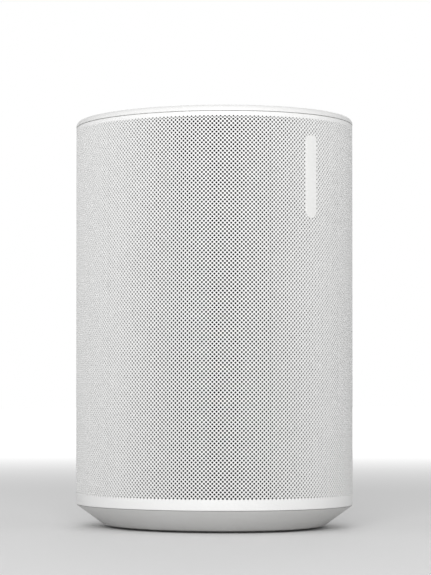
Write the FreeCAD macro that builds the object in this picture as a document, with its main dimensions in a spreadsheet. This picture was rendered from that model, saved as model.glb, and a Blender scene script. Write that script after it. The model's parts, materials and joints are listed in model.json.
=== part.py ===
import FreeCAD, Part
import os
import re
from FreeCAD import Placement, Rotation, Vector

# A free-standing oval smart speaker.
# Frame: millimetres, +Z up, the front faces -Y, the origin is the middle of the underside.

doc = FreeCAD.newDocument("oval_speaker")
sheet = doc.addObject("Spreadsheet::Sheet", "dims")

driving_sizes = [
    ("overall_width", 120.0),
    ("overall_depth", 130.5),
    ("overall_height", 182.5),
    ("slip_fit", 0.2),
    ("easy_fit", 0.3),
    # perforated shell
    ("shell_bottom", 10.3),
    ("shell_wall", 2.2),
    ("cap_height", 2.6),
    ("seam_gap", 0.15),
    ("badge_length", 36.0),
    ("badge_width", 6.4),
    ("badge_drop", 29.5),
    ("badge_sink", 0.5),
    # top cap and what hangs under it
    ("cap_round", 2.3),
    ("cap_skirt", 5.0),
    ("skirt_wall", 1.8),
    ("trough_length", 46.0),
    ("trough_width", 12.0),
    ("trough_depth", 1.4),
    ("mic_hole", 0.5),
    ("mic_across", 34.0),
    ("mic_along", 42.0),
    ("mic_size", 3.6),
    ("mic_height", 1.1),
    ("light_radius", 0.9),
    ("light_forward", 52.0),
    ("foam_thickness", 0.5),
    ("board_thickness", 1.6),
    ("touch_board_thickness", 1.2),
    ("ribbon_width", 12.0),
    ("ribbon_thickness", 0.3),
    ("ribbon_off_board", 1.4),
    ("ribbon_overlap", 12.0),
    ("connector_height", 6.0),
    ("frame_plate", 2.4),
    ("frame_rim", 4.5),
    ("frame_window", 16.0),
    # base and foot
    ("base_inset", 12.8),
    ("base_step", 0.4),
    ("base_lift", 1.0),
    ("base_floor", 2.6),
    ("base_wall", 2.6),
    ("base_collar", 6.0),
    ("base_round", 1.5),
    ("foot_inset", 19.0),
    ("foot_width", 6.0),
    ("foot_seat", 0.8),
    ("post_radius", 4.2),
    ("post_across", 33.7),
    ("post_along", 20.0),
    # acoustic enclosure
    ("box_inset", 7.0),
    ("box_wall", 3.0),
    ("box_lift", 0.7),
    ("baffle_face", 35.0),
    ("box_back", 26.0),
    ("box_split", 4.0),
    ("gasket_thickness", 1.0),
    ("ear_radius", 3.6),
    ("ear_length", 12.0),
    ("ear_bore", 10.0),
    ("ear_thread", 9.0),
    ("ear_from_end", 12.0),
    # woofer
    ("woofer_middle", 68.0),
    ("woofer_radius", 40.0),
    ("woofer_flange", 3.0),
    ("woofer_gasket", 0.6),
    ("basket_mouth", 35.0),
    ("basket_depth", 22.0),
    ("basket_wall", 1.6),
    ("basket_window", 18.0),
    ("magnet_radius", 26.0),
    ("magnet_thickness", 9.0),
    ("plate_radius", 24.0),
    ("plate_thickness", 4.0),
    ("pole_radius", 9.6),
    ("coil_gap", 0.4),
    ("coil_wall", 0.3),
    ("winding_wall", 0.6),
    ("winding_length", 7.0),
    ("coil_overhang", 1.5),
    ("cone_radius", 28.5),
    ("cone_depth", 11.0),
    ("cone_wall", 0.8),
    ("spider_radius", 23.0),
    ("spider_thickness", 0.8),
    ("spider_shelf", 1.5),
    ("surround_wall", 0.6),
    ("dust_cap_wall", 0.5),
    ("magnet_recess", 2.0),
    # tweeters
    ("tweeter_drop", 28.0),
    ("tweeter_turn", 50.0),
    ("tweeter_seat", 44.0),
    ("tweeter_radius", 17.0),
    ("tweeter_flange", 3.0),
    ("horn_radius", 14.0),
    ("dome_radius", 9.5),
    ("dome_height", 2.4),
    ("dome_wall", 0.3),
    ("dome_edge", 2.0),
    ("cup_radius", 12.8),
    ("cup_depth", 9.0),
    ("cup_wall", 1.6),
    ("magnet_lift", 0.9),
    ("tweeter_coil_length", 4.1),
    # rear panel and its controls
    ("panel_width", 30.0),
    ("panel_bottom", 22.0),
    ("panel_top", 104.0),
    ("panel_lip", 4.0),
    ("panel_lip_wall", 1.6),
    ("pocket_width", 22.0),
    ("pocket_height", 15.0),
    ("pocket_depth", 8.0),
    ("pocket_wall", 1.4),
    ("inlet_middle", 38.0),
    ("inlet_width", 15.0),
    ("inlet_height", 8.4),
    ("inlet_wall", 1.6),
    ("inlet_depth", 11.0),
    ("pin_radius", 1.18),
    ("pin_pitch", 8.6),
    ("port_board_depth", 54.0),
    ("port_board_width", 24.0),
    ("port_board_bottom", 58.0),
    ("port_board_top", 100.0),
    ("peg_radius", 2.0),
    ("peg_screw_bite", 3.5),
    ("button_middle", 91.0),
    ("button_radius", 4.5),
    ("button_travel", 0.8),
    ("button_sink", 0.4),
    ("flange_behind", 4.65),
    ("flange_thickness", 0.8),
    ("flange_width", 1.3),
    ("plunger_radius", 1.6),
    ("plunger_length", 2.6),
    ("switch_half", 3.0),
    ("slider_middle", 78.5),
    ("slider_length", 4.8),
    ("slider_height", 3.0),
    ("slider_travel", 3.0),
    ("slider_hidden", 2.6),
    ("slider_plate_height", 6.0),
    ("lever_half", 0.7),
    ("lever_length", 1.9),
    ("lever_switch_width", 9.0),
    ("lever_switch_height", 4.0),
    ("usb_middle", 67.0),
    ("usb_width", 8.94),
    ("usb_height", 3.26),
    ("usb_wall", 0.3),
    ("usb_sink", 0.5),
    ("usb_depth", 6.2),
    ("tongue_width", 6.7),
    ("tongue_thickness", 0.7),
    # boards
    ("standoff", 3.0),
    ("main_board_width", 72.0),
    ("main_board_bottom", 84.0),
    ("main_board_drop", 6.0),
    ("power_board_width", 72.0),
    ("power_board_lift", 4.0),
    ("power_board_top", 76.0),
    ("board_margin", 4.5),
    ("sink_plate", 3.0),
    ("sink_height", 12.0),
    ("fin_width", 2.0),
    ("fin_pitch", 4.8),
    ("coil_height", 14.0),
    ("coil_flange", 2.0),
    ("capacitor_radius", 5.0),
    ("capacitor_height", 13.0),
    ("choke_radius", 6.0),
    ("choke_bore", 3.0),
    ("antenna_width", 5.0),
    ("antenna_length", 18.0),
    ("antenna_thickness", 0.8),
    ("antenna_across", 40.0),
    ("antenna_drop", 44.0),
    # screws
    ("screw_radius", 1.5),
    ("screw_head", 2.8),
    ("screw_head_height", 1.8),
    ("small_screw", 0.7),
    ("small_screw_head", 1.3),
]
# Levels that follow from the sizes above.
worked_out = {
    "box_bottom": "shell_bottom + base_collar + box_lift",
    "box_top": "overall_height - cap_height - cap_skirt - frame_rim - frame_plate",
    "tweeter_middle": "box_top - tweeter_drop",
    "badge_middle": "overall_height - badge_drop",
    "main_board_top": "box_top - main_board_drop",
    "power_board_bottom": "box_bottom + power_board_lift",
}
names = {name for name, size in driving_sizes}
for row, (name, size) in enumerate(driving_sizes, 1):
    sheet.set(f"A{row}", name)
    sheet.set(f"B{row}", str(size))
    sheet.setAlias(f"B{row}", name)
doc.recompute()


def named(formula):
    """A formula written with bare names, as an expression on the sheet."""

    def full(word):
        if word[0] in worked_out:
            return f"({named(worked_out[word[0]])})"
        return "dims." + word[0] if word[0] in names else word[0]

    return re.sub(r"[a-z_]+", full, str(formula))


def value(formula):
    return float(sheet.evalExpression(named(formula)))


def make(kind, at=("0", "0", "0"), **formulas):
    obj = doc.addObject("Part::" + kind, kind.lower())
    for prop, formula in formulas.items():
        obj.setExpression(prop, named(formula))
    for axis, formula in zip("xyz", at):
        obj.setExpression("Placement.Base." + axis, named(formula))
    return obj


def face_back(obj):
    """Turns an object made along +Z so that it runs along +Y."""
    obj.Placement = Placement(obj.Placement.Base, Rotation(Vector(1, 0, 0), -90))
    return obj


def block(x0, x1, y0, y1, z0, z1):
    return make("Box", (x0, y0, z0), Length=f"({x1}) - ({x0})", Width=f"({y1}) - ({y0})",
                Height=f"({z1}) - ({z0})")


def upright(radius, x, y, z0, z1):
    return make("Cylinder", (x, y, z0), Radius=radius, Height=f"({z1}) - ({z0})")


def level(radius, x, z, y0, y1):
    return face_back(make("Cylinder", (x, y0, z), Radius=radius, Height=f"({y1}) - ({y0})"))


def level_cone(radius0, radius1, x, z, y0, y1):
    cone = make("Cone", (x, y0, z), Radius1=radius0, Radius2=radius1, Height=f"({y1}) - ({y0})")
    return face_back(cone)


def gather(kind, pieces):
    obj = doc.addObject("Part::" + kind, kind.lower())
    obj.Shapes = pieces
    return obj


def fuse(*pieces):
    return gather("MultiFuse", list(pieces)) if len(pieces) > 1 else pieces[0]


def group(pieces):
    """Separate solids that share one node."""
    obj = doc.addObject("Part::Compound", "group")
    obj.Links = pieces
    return obj


def cut(base, *tools):
    obj = doc.addObject("Part::Cut", "cut")
    obj.Base = base
    obj.Tool = fuse(*tools)
    return obj


def common(*pieces):
    return gather("MultiCommon", list(pieces))


def ellipse(inset, z):
    """The plan outline, brought in by inset all round."""
    half_width = f"overall_width / 2 - ({inset})"
    half_depth = f"overall_depth / 2 - ({inset})"
    outline = make("Ellipse", ("0", "0", z), MajorRadius=f"max({half_width}; {half_depth})",
                   MinorRadius=f"min({half_width}; {half_depth})")
    outline.Placement.Rotation = Rotation(Vector(0, 0, 1), 90)
    outline.setExpression("Placement.Rotation.Angle", named("overall_depth > overall_width ? 90 deg : 0 deg"))
    return outline


def oval(inset, z0, z1):
    bar = doc.addObject("Part::Extrusion", "oval")
    bar.Base = ellipse(inset, z0)
    bar.DirMode = "Custom"
    bar.Dir = Vector(0, 0, 1)
    bar.Solid = True
    bar.setExpression("LengthFwd", named(f"({z1}) - ({z0})"))
    return bar


def oval_ring(inset, wall, z0, z1):
    return cut(oval(inset, z0, z1), oval(f"{inset} + {wall}", z0, z1))


def oval_taper(inset0, inset1, z0, z1):
    taper = doc.addObject("Part::Loft", "taper")
    taper.Sections = [ellipse(inset0, z0), ellipse(inset1, z1)]
    taper.Solid = True
    taper.Ruled = True
    return taper


def ring(outer, inner, x, z, y0, y1):
    return cut(level(outer, x, z, y0, y1), level(inner, x, z, y0, y1))


def tall_pill(half_width, z0, z1, y0, y1):
    """A bar along Y whose section is an upright slot with round ends."""
    low, high = f"{z0} + {half_width}", f"{z1} - ({half_width})"
    middle = block(f"-({half_width})", half_width, y0, y1, low, high)
    return fuse(middle, level(half_width, "0", low, y0, y1), level(half_width, "0", high, y0, y1))


def wide_pill(width, height, z, y0, y1):
    """A bar along Y whose section is a level slot with round ends."""
    reach = f"(({width}) - ({height})) / 2"
    middle = block(f"-{reach}", reach, y0, y1, f"{z} - ({height}) / 2", f"{z} + ({height}) / 2")
    ends = [level(f"({height}) / 2", f"{side}{reach}", z, y0, y1) for side in ("-", "")]
    return fuse(middle, *ends)


sub_parts = []


def sub_part(label, obj):
    obj.Label = label
    sub_parts.append(obj)
    return obj


# Levels that several pieces share.
shell_top = "(overall_height - cap_height - seam_gap)"
cap_under = "(overall_height - cap_height)"
inner_face = "(shell_wall + slip_fit)"
rear_face = "(overall_depth / 2)"
panel_inside = f"({rear_face} - shell_wall - slip_fit - panel_lip_wall)"
far_back = f"{rear_face} + 5"


def make_shell():
    wall = oval_ring("0", "shell_wall", "shell_bottom", shell_top)
    window = tall_pill("panel_width / 2 + slip_fit", "panel_bottom - slip_fit", "panel_top + slip_fit",
                       "0", far_back)
    badge_low = "(badge_middle - badge_length / 2)"
    badge_high = "(badge_middle + badge_length / 2)"
    sink = common(tall_pill("badge_width / 2", badge_low, badge_high, f"-({far_back})", "0"),
                  oval_ring("0", "badge_sink", badge_low, badge_high))
    sub_part("grille_shell", cut(wall, window, sink))
    rim = "slip_fit / 2"
    badge = common(tall_pill(f"badge_width / 2 - {rim}", f"{badge_low} + {rim}", f"{badge_high} - {rim}",
                             f"-({far_back})", "0"),
                   oval_ring("0", "badge_sink", badge_low, badge_high))
    sub_part("badge_plate", badge)


mic_places = [(f"{sx}mic_across", f"{sy}mic_along") for sx in ("-", "") for sy in ("-", "")]
light_place = ("0", "-light_forward")
foam_under = f"({cap_under} - foam_thickness)"
touch_under = f"({foam_under} - touch_board_thickness)"


def make_top():
    plate = oval("0", cap_under, "overall_height")
    doc.recompute()
    top_height = value("overall_height")
    rim = [number for number, edge in enumerate(plate.Shape.Edges, 1) if edge.BoundBox.ZMin > top_height - 0.01]
    rounded = doc.addObject("Part::Fillet", "cap_rim")
    rounded.Base = plate
    rounded.Edges = [(number, value("cap_round"), value("cap_round")) for number in rim]
    skirt = oval_ring(inner_face, "skirt_wall", f"{cap_under} - cap_skirt", f"{cap_under} + 0.01")
    reach = "((trough_length - trough_width) / 2)"
    floor = "overall_height - trough_depth"
    trough = fuse(block(f"-{reach}", reach, "-trough_width / 2", "trough_width / 2", floor, "overall_height + 1"),
                  upright("trough_width / 2", f"-{reach}", "0", floor, "overall_height + 1"),
                  upright("trough_width / 2", reach, "0", floor, "overall_height + 1"))
    holes = [upright("mic_hole", x, y, f"{cap_under} - 1", "overall_height + 1") for x, y in mic_places]
    light_hole = upright("light_radius", *light_place, f"{cap_under} - 1", "overall_height + 1")
    sub_part("top_cap", cut(fuse(rounded, skirt), trough, light_hole, *holes))

    edge = f"{inner_face} + skirt_wall + easy_fit"
    board_holes = [upright("mic_hole", x, y, touch_under, foam_under) for x, y in mic_places]
    sub_part("touch_board", cut(oval(edge, touch_under, foam_under), *board_holes))
    seats = [upright("mic_size", x, y, foam_under, cap_under) for x, y in mic_places]
    foam = cut(oval(edge, foam_under, cap_under), upright("light_radius + easy_fit", *light_place,
                                                         foam_under, cap_under), *seats)
    gaskets = [cut(upright("mic_size - slip_fit", x, y, foam_under, cap_under),
                   upright("mic_hole", x, y, foam_under, cap_under)) for x, y in mic_places]
    sub_part("touch_foam", group([foam, *gaskets]))
    capsules = [block(f"{x} - mic_size / 2", f"{x} + mic_size / 2", f"{y} - mic_size / 2",
                      f"{y} + mic_size / 2", f"{touch_under} - mic_height", touch_under) for x, y in mic_places]
    sub_part("microphones", group(capsules))
    sub_part("status_light_pipe", upright("light_radius", *light_place, foam_under, "overall_height - 0.1"))

    skirt_low = f"({cap_under} - cap_skirt)"
    ribbon_y = "(box_back + standoff + board_thickness + ribbon_off_board)"
    plate = oval(inner_face, "box_top", "box_top + frame_plate")
    rim = oval_ring(inner_face, "skirt_wall", "box_top + frame_plate - 0.01", skirt_low)
    window = oval(f"{inner_face} + frame_window", "box_top - 1", "box_top + frame_plate + 1")
    pass_through = block("-ribbon_width / 2 - 1", "ribbon_width / 2 + 1", f"{ribbon_y} - 1", f"{ribbon_y} + 2",
                         "box_top - 1", "box_top + frame_plate + 1")
    sub_part("top_frame", cut(fuse(plate, rim), window, pass_through))
    ribbon = block("-ribbon_width / 2", "ribbon_width / 2", ribbon_y, f"{ribbon_y} + ribbon_thickness",
                   "main_board_top - ribbon_overlap", touch_under)
    connector = block("-ribbon_width / 2 - 1", "ribbon_width / 2 + 1", "box_back + standoff + board_thickness",
                      ribbon_y, "main_board_top - ribbon_overlap - connector_height / 3",
                      "main_board_top - ribbon_overlap + connector_height * 2 / 3")
    sub_part("touch_ribbon", group([ribbon, connector]))


post_places = [(f"{sx}post_across", f"{sy}post_along") for sx in ("-", "") for sy in ("-", "")]


def make_base():
    outer = oval_taper("base_inset", "base_step", "base_lift", "shell_bottom")
    doc.recompute()
    low = value("base_lift")
    bottom = [number for number, edge in enumerate(outer.Shape.Edges, 1)
              if abs(edge.BoundBox.ZMax - low) < 0.01]
    rounded = doc.addObject("Part::Fillet", "base_edge")
    rounded.Base = outer
    rounded.Edges = [(number, value("base_round"), value("base_round")) for number in bottom]
    collar_top = "(shell_bottom + base_collar)"
    collar = oval(inner_face, "shell_bottom - 0.01", collar_top)
    hollow = oval_taper("base_inset + base_wall", "base_step + base_wall", "base_lift + base_floor",
                        "shell_bottom")
    collar_hollow = oval(f"{inner_face} + base_wall", "shell_bottom - 0.01", f"{collar_top} + 1")
    posts = [upright("post_radius", x, y, "base_lift + base_floor - 0.5", "box_bottom") for x, y in post_places]
    bores = [upright("screw_radius + slip_fit", x, y, "0", "box_bottom + 1") for x, y in post_places]
    heads = [upright("screw_head + slip_fit", x, y, "0", "base_lift + foot_seat + screw_head_height + slip_fit")
             for x, y in post_places]
    groove = oval_ring("foot_inset - slip_fit / 2", "foot_width + slip_fit", "0", "base_lift + foot_seat")
    tray = cut(fuse(rounded, collar), hollow, collar_hollow)
    sub_part("base_housing", cut(fuse(tray, *posts), groove, *bores, *heads))
    sub_part("foot_ring", oval_ring("foot_inset", "foot_width", "0", "base_lift + foot_seat"))
    head_low = "(base_lift + foot_seat + slip_fit)"
    screws = [fuse(upright("screw_head", x, y, head_low, f"{head_low} + screw_head_height"),
                   upright("screw_radius", x, y, head_low, "box_bottom + box_wall")) for x, y in post_places]
    sub_part("base_screws", group(screws))


def boxed(inset, z0, z1, front, back, seat):
    """The enclosure's outline: an oval with a flat back, a flat woofer baffle below and two angled
    tweeter seats above it."""
    body = common(oval(inset, z0, z1), block("-overall_width", "overall_width", "-overall_depth", back, z0, z1))
    shelf = "(tweeter_middle - tweeter_radius - 4)"
    baffle = block("-overall_width", "overall_width", "-overall_depth", f"-({front})", "0",
                   f"{shelf} + ({inset}) - box_inset")
    seats = [turned(block("-overall_width", "overall_width", "-overall_depth", f"-({seat})",
                          f"{shelf} - (({inset}) - box_inset)", "overall_height"), side) for side in ("-", "")]
    return cut(body, baffle, *seats)


def turned(obj, side):
    """Turns a finished piece about the speaker's own axis, to the left or to the right tweeter."""
    holder = doc.addObject("Part::Compound", "turned")
    holder.Links = [obj]
    holder.Placement = Placement(Vector(), Rotation(Vector(0, 0, 1), value(f"{side}tweeter_turn")))
    holder.setExpression("Placement.Rotation.Angle", named(f"{side}tweeter_turn * 1 deg"))
    return holder


# Places along the woofer's axis, from the front to the back.
flange_back = "(-baffle_face - woofer_gasket)"
flange_front = f"({flange_back} - woofer_flange)"
basket_end = "(-baffle_face + basket_depth)"
plate_end = f"({basket_end} + plate_thickness)"
magnet_end = f"({plate_end} + magnet_thickness)"
coil_inside = "(pole_radius + coil_gap)"
coil_outside = f"({coil_inside} + coil_wall)"
winding_outside = f"({coil_outside} + winding_wall)"
plate_bore = f"({winding_outside} + coil_gap)"
woofer_screw_reach = "((woofer_radius + basket_mouth) / 2 * 0.7071)"
woofer_screw_places = [(f"{sx}{woofer_screw_reach}", f"woofer_middle {sz} {woofer_screw_reach}")
                       for sx in ("-", "") for sz in ("-", "+")]
box_screw_heights = ["box_bottom + ear_from_end", "(box_bottom + box_top) / 2 + ear_from_end",
                     "box_top - ear_from_end"]
box_screw_reach = "(overall_width / 2 - box_inset - box_wall / 2 - ear_radius)"


def make_enclosure():
    outer = boxed("box_inset", "box_bottom", "box_top", "baffle_face", "box_back", "tweeter_seat")
    inner = boxed("box_inset + box_wall", "box_bottom + box_wall", "box_top - box_wall",
                  "baffle_face - box_wall", "box_back - box_wall", "tweeter_seat - box_wall")
    mouth = level("basket_mouth - 1", "0", "woofer_middle", "-baffle_face - 1", "-baffle_face + box_wall + 1")
    thread = [level("screw_radius", x, z, "-baffle_face - 1", "-baffle_face + box_wall + 1")
              for x, z in woofer_screw_places]
    cup_holes = [turned(level("cup_radius + slip_fit", "0", "tweeter_middle", "-tweeter_seat - 1",
                              "-tweeter_seat + box_wall + 1"), side) for side in ("-", "")]
    post_bores = [upright("screw_radius", x, y, "box_bottom - 1", "box_bottom + box_wall") for x, y in post_places]
    hollow_box = cut(outer, inner, mouth, *thread, *cup_holes, *post_bores)
    gasket_back = "(box_split + gasket_thickness)"
    places = [(f"{side}{box_screw_reach}", z) for side in ("-", "") for z in box_screw_heights]
    ears = [level("ear_radius", x, z, "box_split - ear_length", "box_back - 0.5") for x, z in places]
    bores = [level("screw_radius", x, z, "box_split - ear_bore", "box_back + 1") for x, z in places]
    head_seats = [level("screw_head + slip_fit", x, z, "box_back - screw_head_height", "box_back + 1")
                  for x, z in places]
    front_half = block("-overall_width", "overall_width", "-overall_depth", "box_split", "0", "overall_height")
    back_half = block("-overall_width", "overall_width", gasket_back, "overall_depth", "0", "overall_height")
    seam = block("-overall_width", "overall_width", "box_split", gasket_back, "0", "overall_height")
    full = cut(fuse(hollow_box, *ears), *bores, *head_seats)
    sub_part("front_enclosure", common(full, front_half))
    sub_part("enclosure_gasket", common(full, seam))

    standoffs = [level("post_radius / 2 + 0.6", x, z, "box_back - 0.5", "box_back + standoff")
                 for x, z in board_screw_places]
    board_bores = [level("screw_radius - 0.4", x, z, "box_back - 1", "box_back + standoff + 1")
                   for x, z in board_screw_places]
    sub_part("rear_enclosure", cut(fuse(common(full, back_half), *standoffs), *board_bores))
    screws = [fuse(level("screw_head", x, z, "box_back - screw_head_height", "box_back"),
                   level("screw_radius", x, z, "box_split - ear_thread", "box_back")) for x, z in places]
    sub_part("enclosure_screws", group(screws))


def make_woofer():
    middle = "woofer_middle"
    flange = ring("woofer_radius", "basket_mouth - 2", "0", middle, flange_front, flange_back)
    holes = [level("screw_radius + slip_fit", x, z, f"{flange_front} - 1", f"{flange_back} + 1")
             for x, z in woofer_screw_places]
    outside = level_cone("basket_mouth - 1.3", "plate_radius", "0", middle, flange_back, basket_end)
    inside = level_cone("basket_mouth - 1.3 - basket_wall", "plate_radius - basket_wall", "0", middle,
                        flange_back, f"{basket_end} - basket_wall")
    spider_y = f"({basket_end} - basket_depth / 3)"
    shelf = ring("plate_radius + 2.5", "spider_radius - 2", "0", middle, spider_y, f"{spider_y} + spider_shelf")
    windows = [block(f"-({reach_x})", reach_x, f"{flange_back} + woofer_flange", f"{spider_y} - spider_shelf",
                     f"{middle} - ({reach_z})", f"{middle} + ({reach_z})")
               for reach_x, reach_z in (("basket_window / 2", "woofer_radius"),
                                        ("woofer_radius", "basket_window / 2"))]
    bore = level(plate_bore, "0", middle, f"{basket_end} - 5", f"{basket_end} + 1")
    shell = cut(outside, inside, bore, *windows)
    sub_part("woofer_basket", cut(fuse(flange, shell, shelf), *holes))
    seal = ring("woofer_radius", "basket_mouth", "0", middle, flange_back, "-baffle_face")
    seal_holes = [level("screw_radius + slip_fit", x, z, f"{flange_back} - 1", "-baffle_face + 1")
                  for x, z in woofer_screw_places]
    sub_part("woofer_gasket", cut(seal, *seal_holes))
    screws = [fuse(level("screw_head", x, z, f"{flange_front} - screw_head_height", flange_front),
                   level("screw_radius", x, z, flange_front, "-baffle_face + box_wall"))
              for x, z in woofer_screw_places]
    sub_part("woofer_screws", group(screws))

    sub_part("woofer_top_plate", ring("plate_radius", plate_bore, "0", middle, basket_end, plate_end))
    sub_part("woofer_magnet", ring("magnet_radius", f"{plate_bore} + magnet_recess", "0", middle, plate_end, magnet_end))
    yoke = fuse(level("plate_radius", "0", middle, magnet_end, f"{magnet_end} + plate_thickness"),
                level("pole_radius", "0", middle, basket_end, f"{magnet_end} + 1"))
    sub_part("woofer_yoke", yoke)

    coil_back = f"({plate_end} - plate_thickness / 2 + winding_length / 2 + 0.5)"
    cone_front = f"({flange_back} - 1)"
    cone_back = f"({cone_front} + cone_depth)"
    coil_front = f"({cone_back} - coil_overhang)"
    winding_back = f"({coil_back} - 0.5)"
    sub_part("woofer_coil_former", ring(coil_outside, coil_inside, "0", middle, coil_front, coil_back))
    sub_part("woofer_coil_winding", ring(winding_outside, coil_outside, "0", middle,
                                         f"{winding_back} - winding_length", winding_back))
    cone = cut(level_cone("cone_radius", coil_outside, "0", middle, cone_front, cone_back),
               level_cone("cone_radius - 0.2", coil_outside, "0", middle, f"{cone_front} - cone_wall",
                          f"{cone_back} - cone_wall"))
    sub_part("woofer_cone", cut(cone, level(coil_outside, "0", middle, cone_front, f"{cone_back} + 1")))
    ball = f"(({coil_outside} + 4) * 1.4)"
    ball_middle = f"({coil_front} + {ball} - 3)"
    dome = cut(face_back(make("Sphere", ("0", ball_middle, middle), Radius=ball)),
               face_back(make("Sphere", ("0", ball_middle, middle), Radius=f"{ball} - dust_cap_wall")))
    cap = common(dome, level(f"{coil_outside}", "0", middle, "-overall_depth", coil_front))
    sub_part("woofer_dust_cap", cap)

    roll = "((basket_mouth - 2 - cone_radius) / 2)"
    roll_middle = f"(cone_radius + {roll})"
    tubes = [face_back(make("Torus", ("0", cone_front, middle), Radius1=roll_middle, Radius2=size))
             for size in (roll, f"{roll} - surround_wall")]
    half = level("woofer_radius", "0", middle, f"{cone_front} - 10", cone_front)
    sub_part("woofer_surround", common(cut(*tubes), half))
    sub_part("woofer_spider", ring("spider_radius", coil_outside, "0", middle, f"{spider_y} - spider_thickness",
                                   spider_y))


def make_tweeter(hand, side):
    middle = "tweeter_middle"
    face = "(-tweeter_seat - tweeter_flange)"
    seat = "-tweeter_seat"
    inner_horn = "(dome_radius + dome_edge)"
    reach = "((tweeter_radius + horn_radius) / 2 * 0.7071)"
    bores = [level("small_screw", f"{sx}{reach}", f"{middle} {sz} {reach}", f"{face} - 1", f"{seat} + 1")
             for sx in ("-", "") for sz in ("-", "+")]
    plate = cut(level("tweeter_radius", "0", middle, face, seat), *bores,
                level_cone("horn_radius", inner_horn, "0", middle, face, f"{seat} - 0.6"),
                level(inner_horn, "0", middle, f"{seat} - 1", f"{seat} + 1"))
    sub_part(f"{hand}_tweeter_faceplate", turned(plate, side))
    ball = "((dome_radius * dome_radius + dome_height * dome_height) / (2 * dome_height))"
    ball_middle = f"({seat} - 0.1 - dome_height + {ball})"
    dome = cut(make("Sphere", ("0", ball_middle, middle), Radius=ball),
               make("Sphere", ("0", ball_middle, middle), Radius=f"{ball} - dome_wall"))
    sub_part(f"{hand}_tweeter_dome", turned(common(dome, level("dome_radius", "0", middle, "-overall_depth",
                                                               f"{seat} - 0.1")), side))
    tubes = [face_back(make("Torus", ("0", seat, middle), Radius1="dome_radius + dome_edge / 2", Radius2=size))
             for size in ("dome_edge / 2", "dome_edge / 2 - 0.2")]
    roll = common(cut(*tubes), level("tweeter_radius", "0", middle, f"{seat} - 3", seat))
    sub_part(f"{hand}_tweeter_surround", turned(roll, side))
    coil = ring("dome_radius - 0.3", "dome_radius - 0.7", "0", middle, f"{seat} - 0.1",
                f"{seat} - 0.1 + tweeter_coil_length")
    sub_part(f"{hand}_tweeter_coil", turned(coil, side))


def make_tweeter_motors():
    middle, seat = "tweeter_middle", "-tweeter_seat"
    cup_back = f"({seat} + cup_depth)"
    face = f"({seat} - tweeter_flange)"
    reach = "((tweeter_radius + horn_radius) / 2 * 0.7071)"
    cups, magnets, screws = [], [], []
    for side in ("-", ""):
        cup = cut(level("cup_radius", "0", middle, seat, cup_back),
                  level("dome_radius + 0.3", "0", middle, f"{seat} - 1", f"{cup_back} - cup_wall"))
        cups.append(turned(cup, side))
        magnets.append(turned(level("dome_radius - 1.2", "0", middle, f"{seat} + magnet_lift",
                                    f"{cup_back} - cup_wall"), side))
        for x, z in ((f"{sx}{reach}", f"{middle} {sz} {reach}") for sx in ("-", "") for sz in ("-", "+")):
            screws.append(turned(fuse(level("small_screw_head", x, z, f"{face} - 0.6", face),
                                      level("small_screw", x, z, face, seat)), side))
    sub_part("tweeter_cups", group(cups))
    sub_part("tweeter_magnets", group(magnets))
    sub_part("tweeter_screws", group(screws))


board_face = "(box_back + standoff)"
board_rear = f"({board_face} + board_thickness)"
board_screw_places = []
for board in ("main_board", "power_board"):
    for side in ("-", ""):
        for edge in (f"{board}_bottom + board_margin", f"{board}_top - board_margin"):
            board_screw_places.append((f"{side}({board}_width / 2 - board_margin)", edge))


board_near = "port_board_depth"
board_out = "(port_board_depth + touch_board_thickness)"
port_screw_places = [(f"{side}(port_board_width / 2 - 2.4)", z)
                     for side in ("-", "") for z in ("port_board_bottom + 2.6", "port_board_top - 1.6")]


# What stands on the boards: the left and right edges from the middle, the low and high edges above the
# board's own lower edge, and how far it stands off the board.
large_can = ("4", "30", "12", "40", "2.6")
small_can = ("10", "28", "48", "64", "2")
heat_sink_place = ("-30", "-4", "12", "38", "sink_plate")
transformer_place = ("-32", "-15", "22", "42", "coil_height")
capacitor_places = [("20", "26"), ("20", "38"), ("-2", "34")]
choke_place = ("27", "13")
fin_count = 6


def on_board(board, left, right, bottom, top, height):
    return block(left, right, board_rear, f"{board_rear} + {height}", f"{board}_bottom + {bottom}",
                 f"{board}_bottom + {top}")


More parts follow.
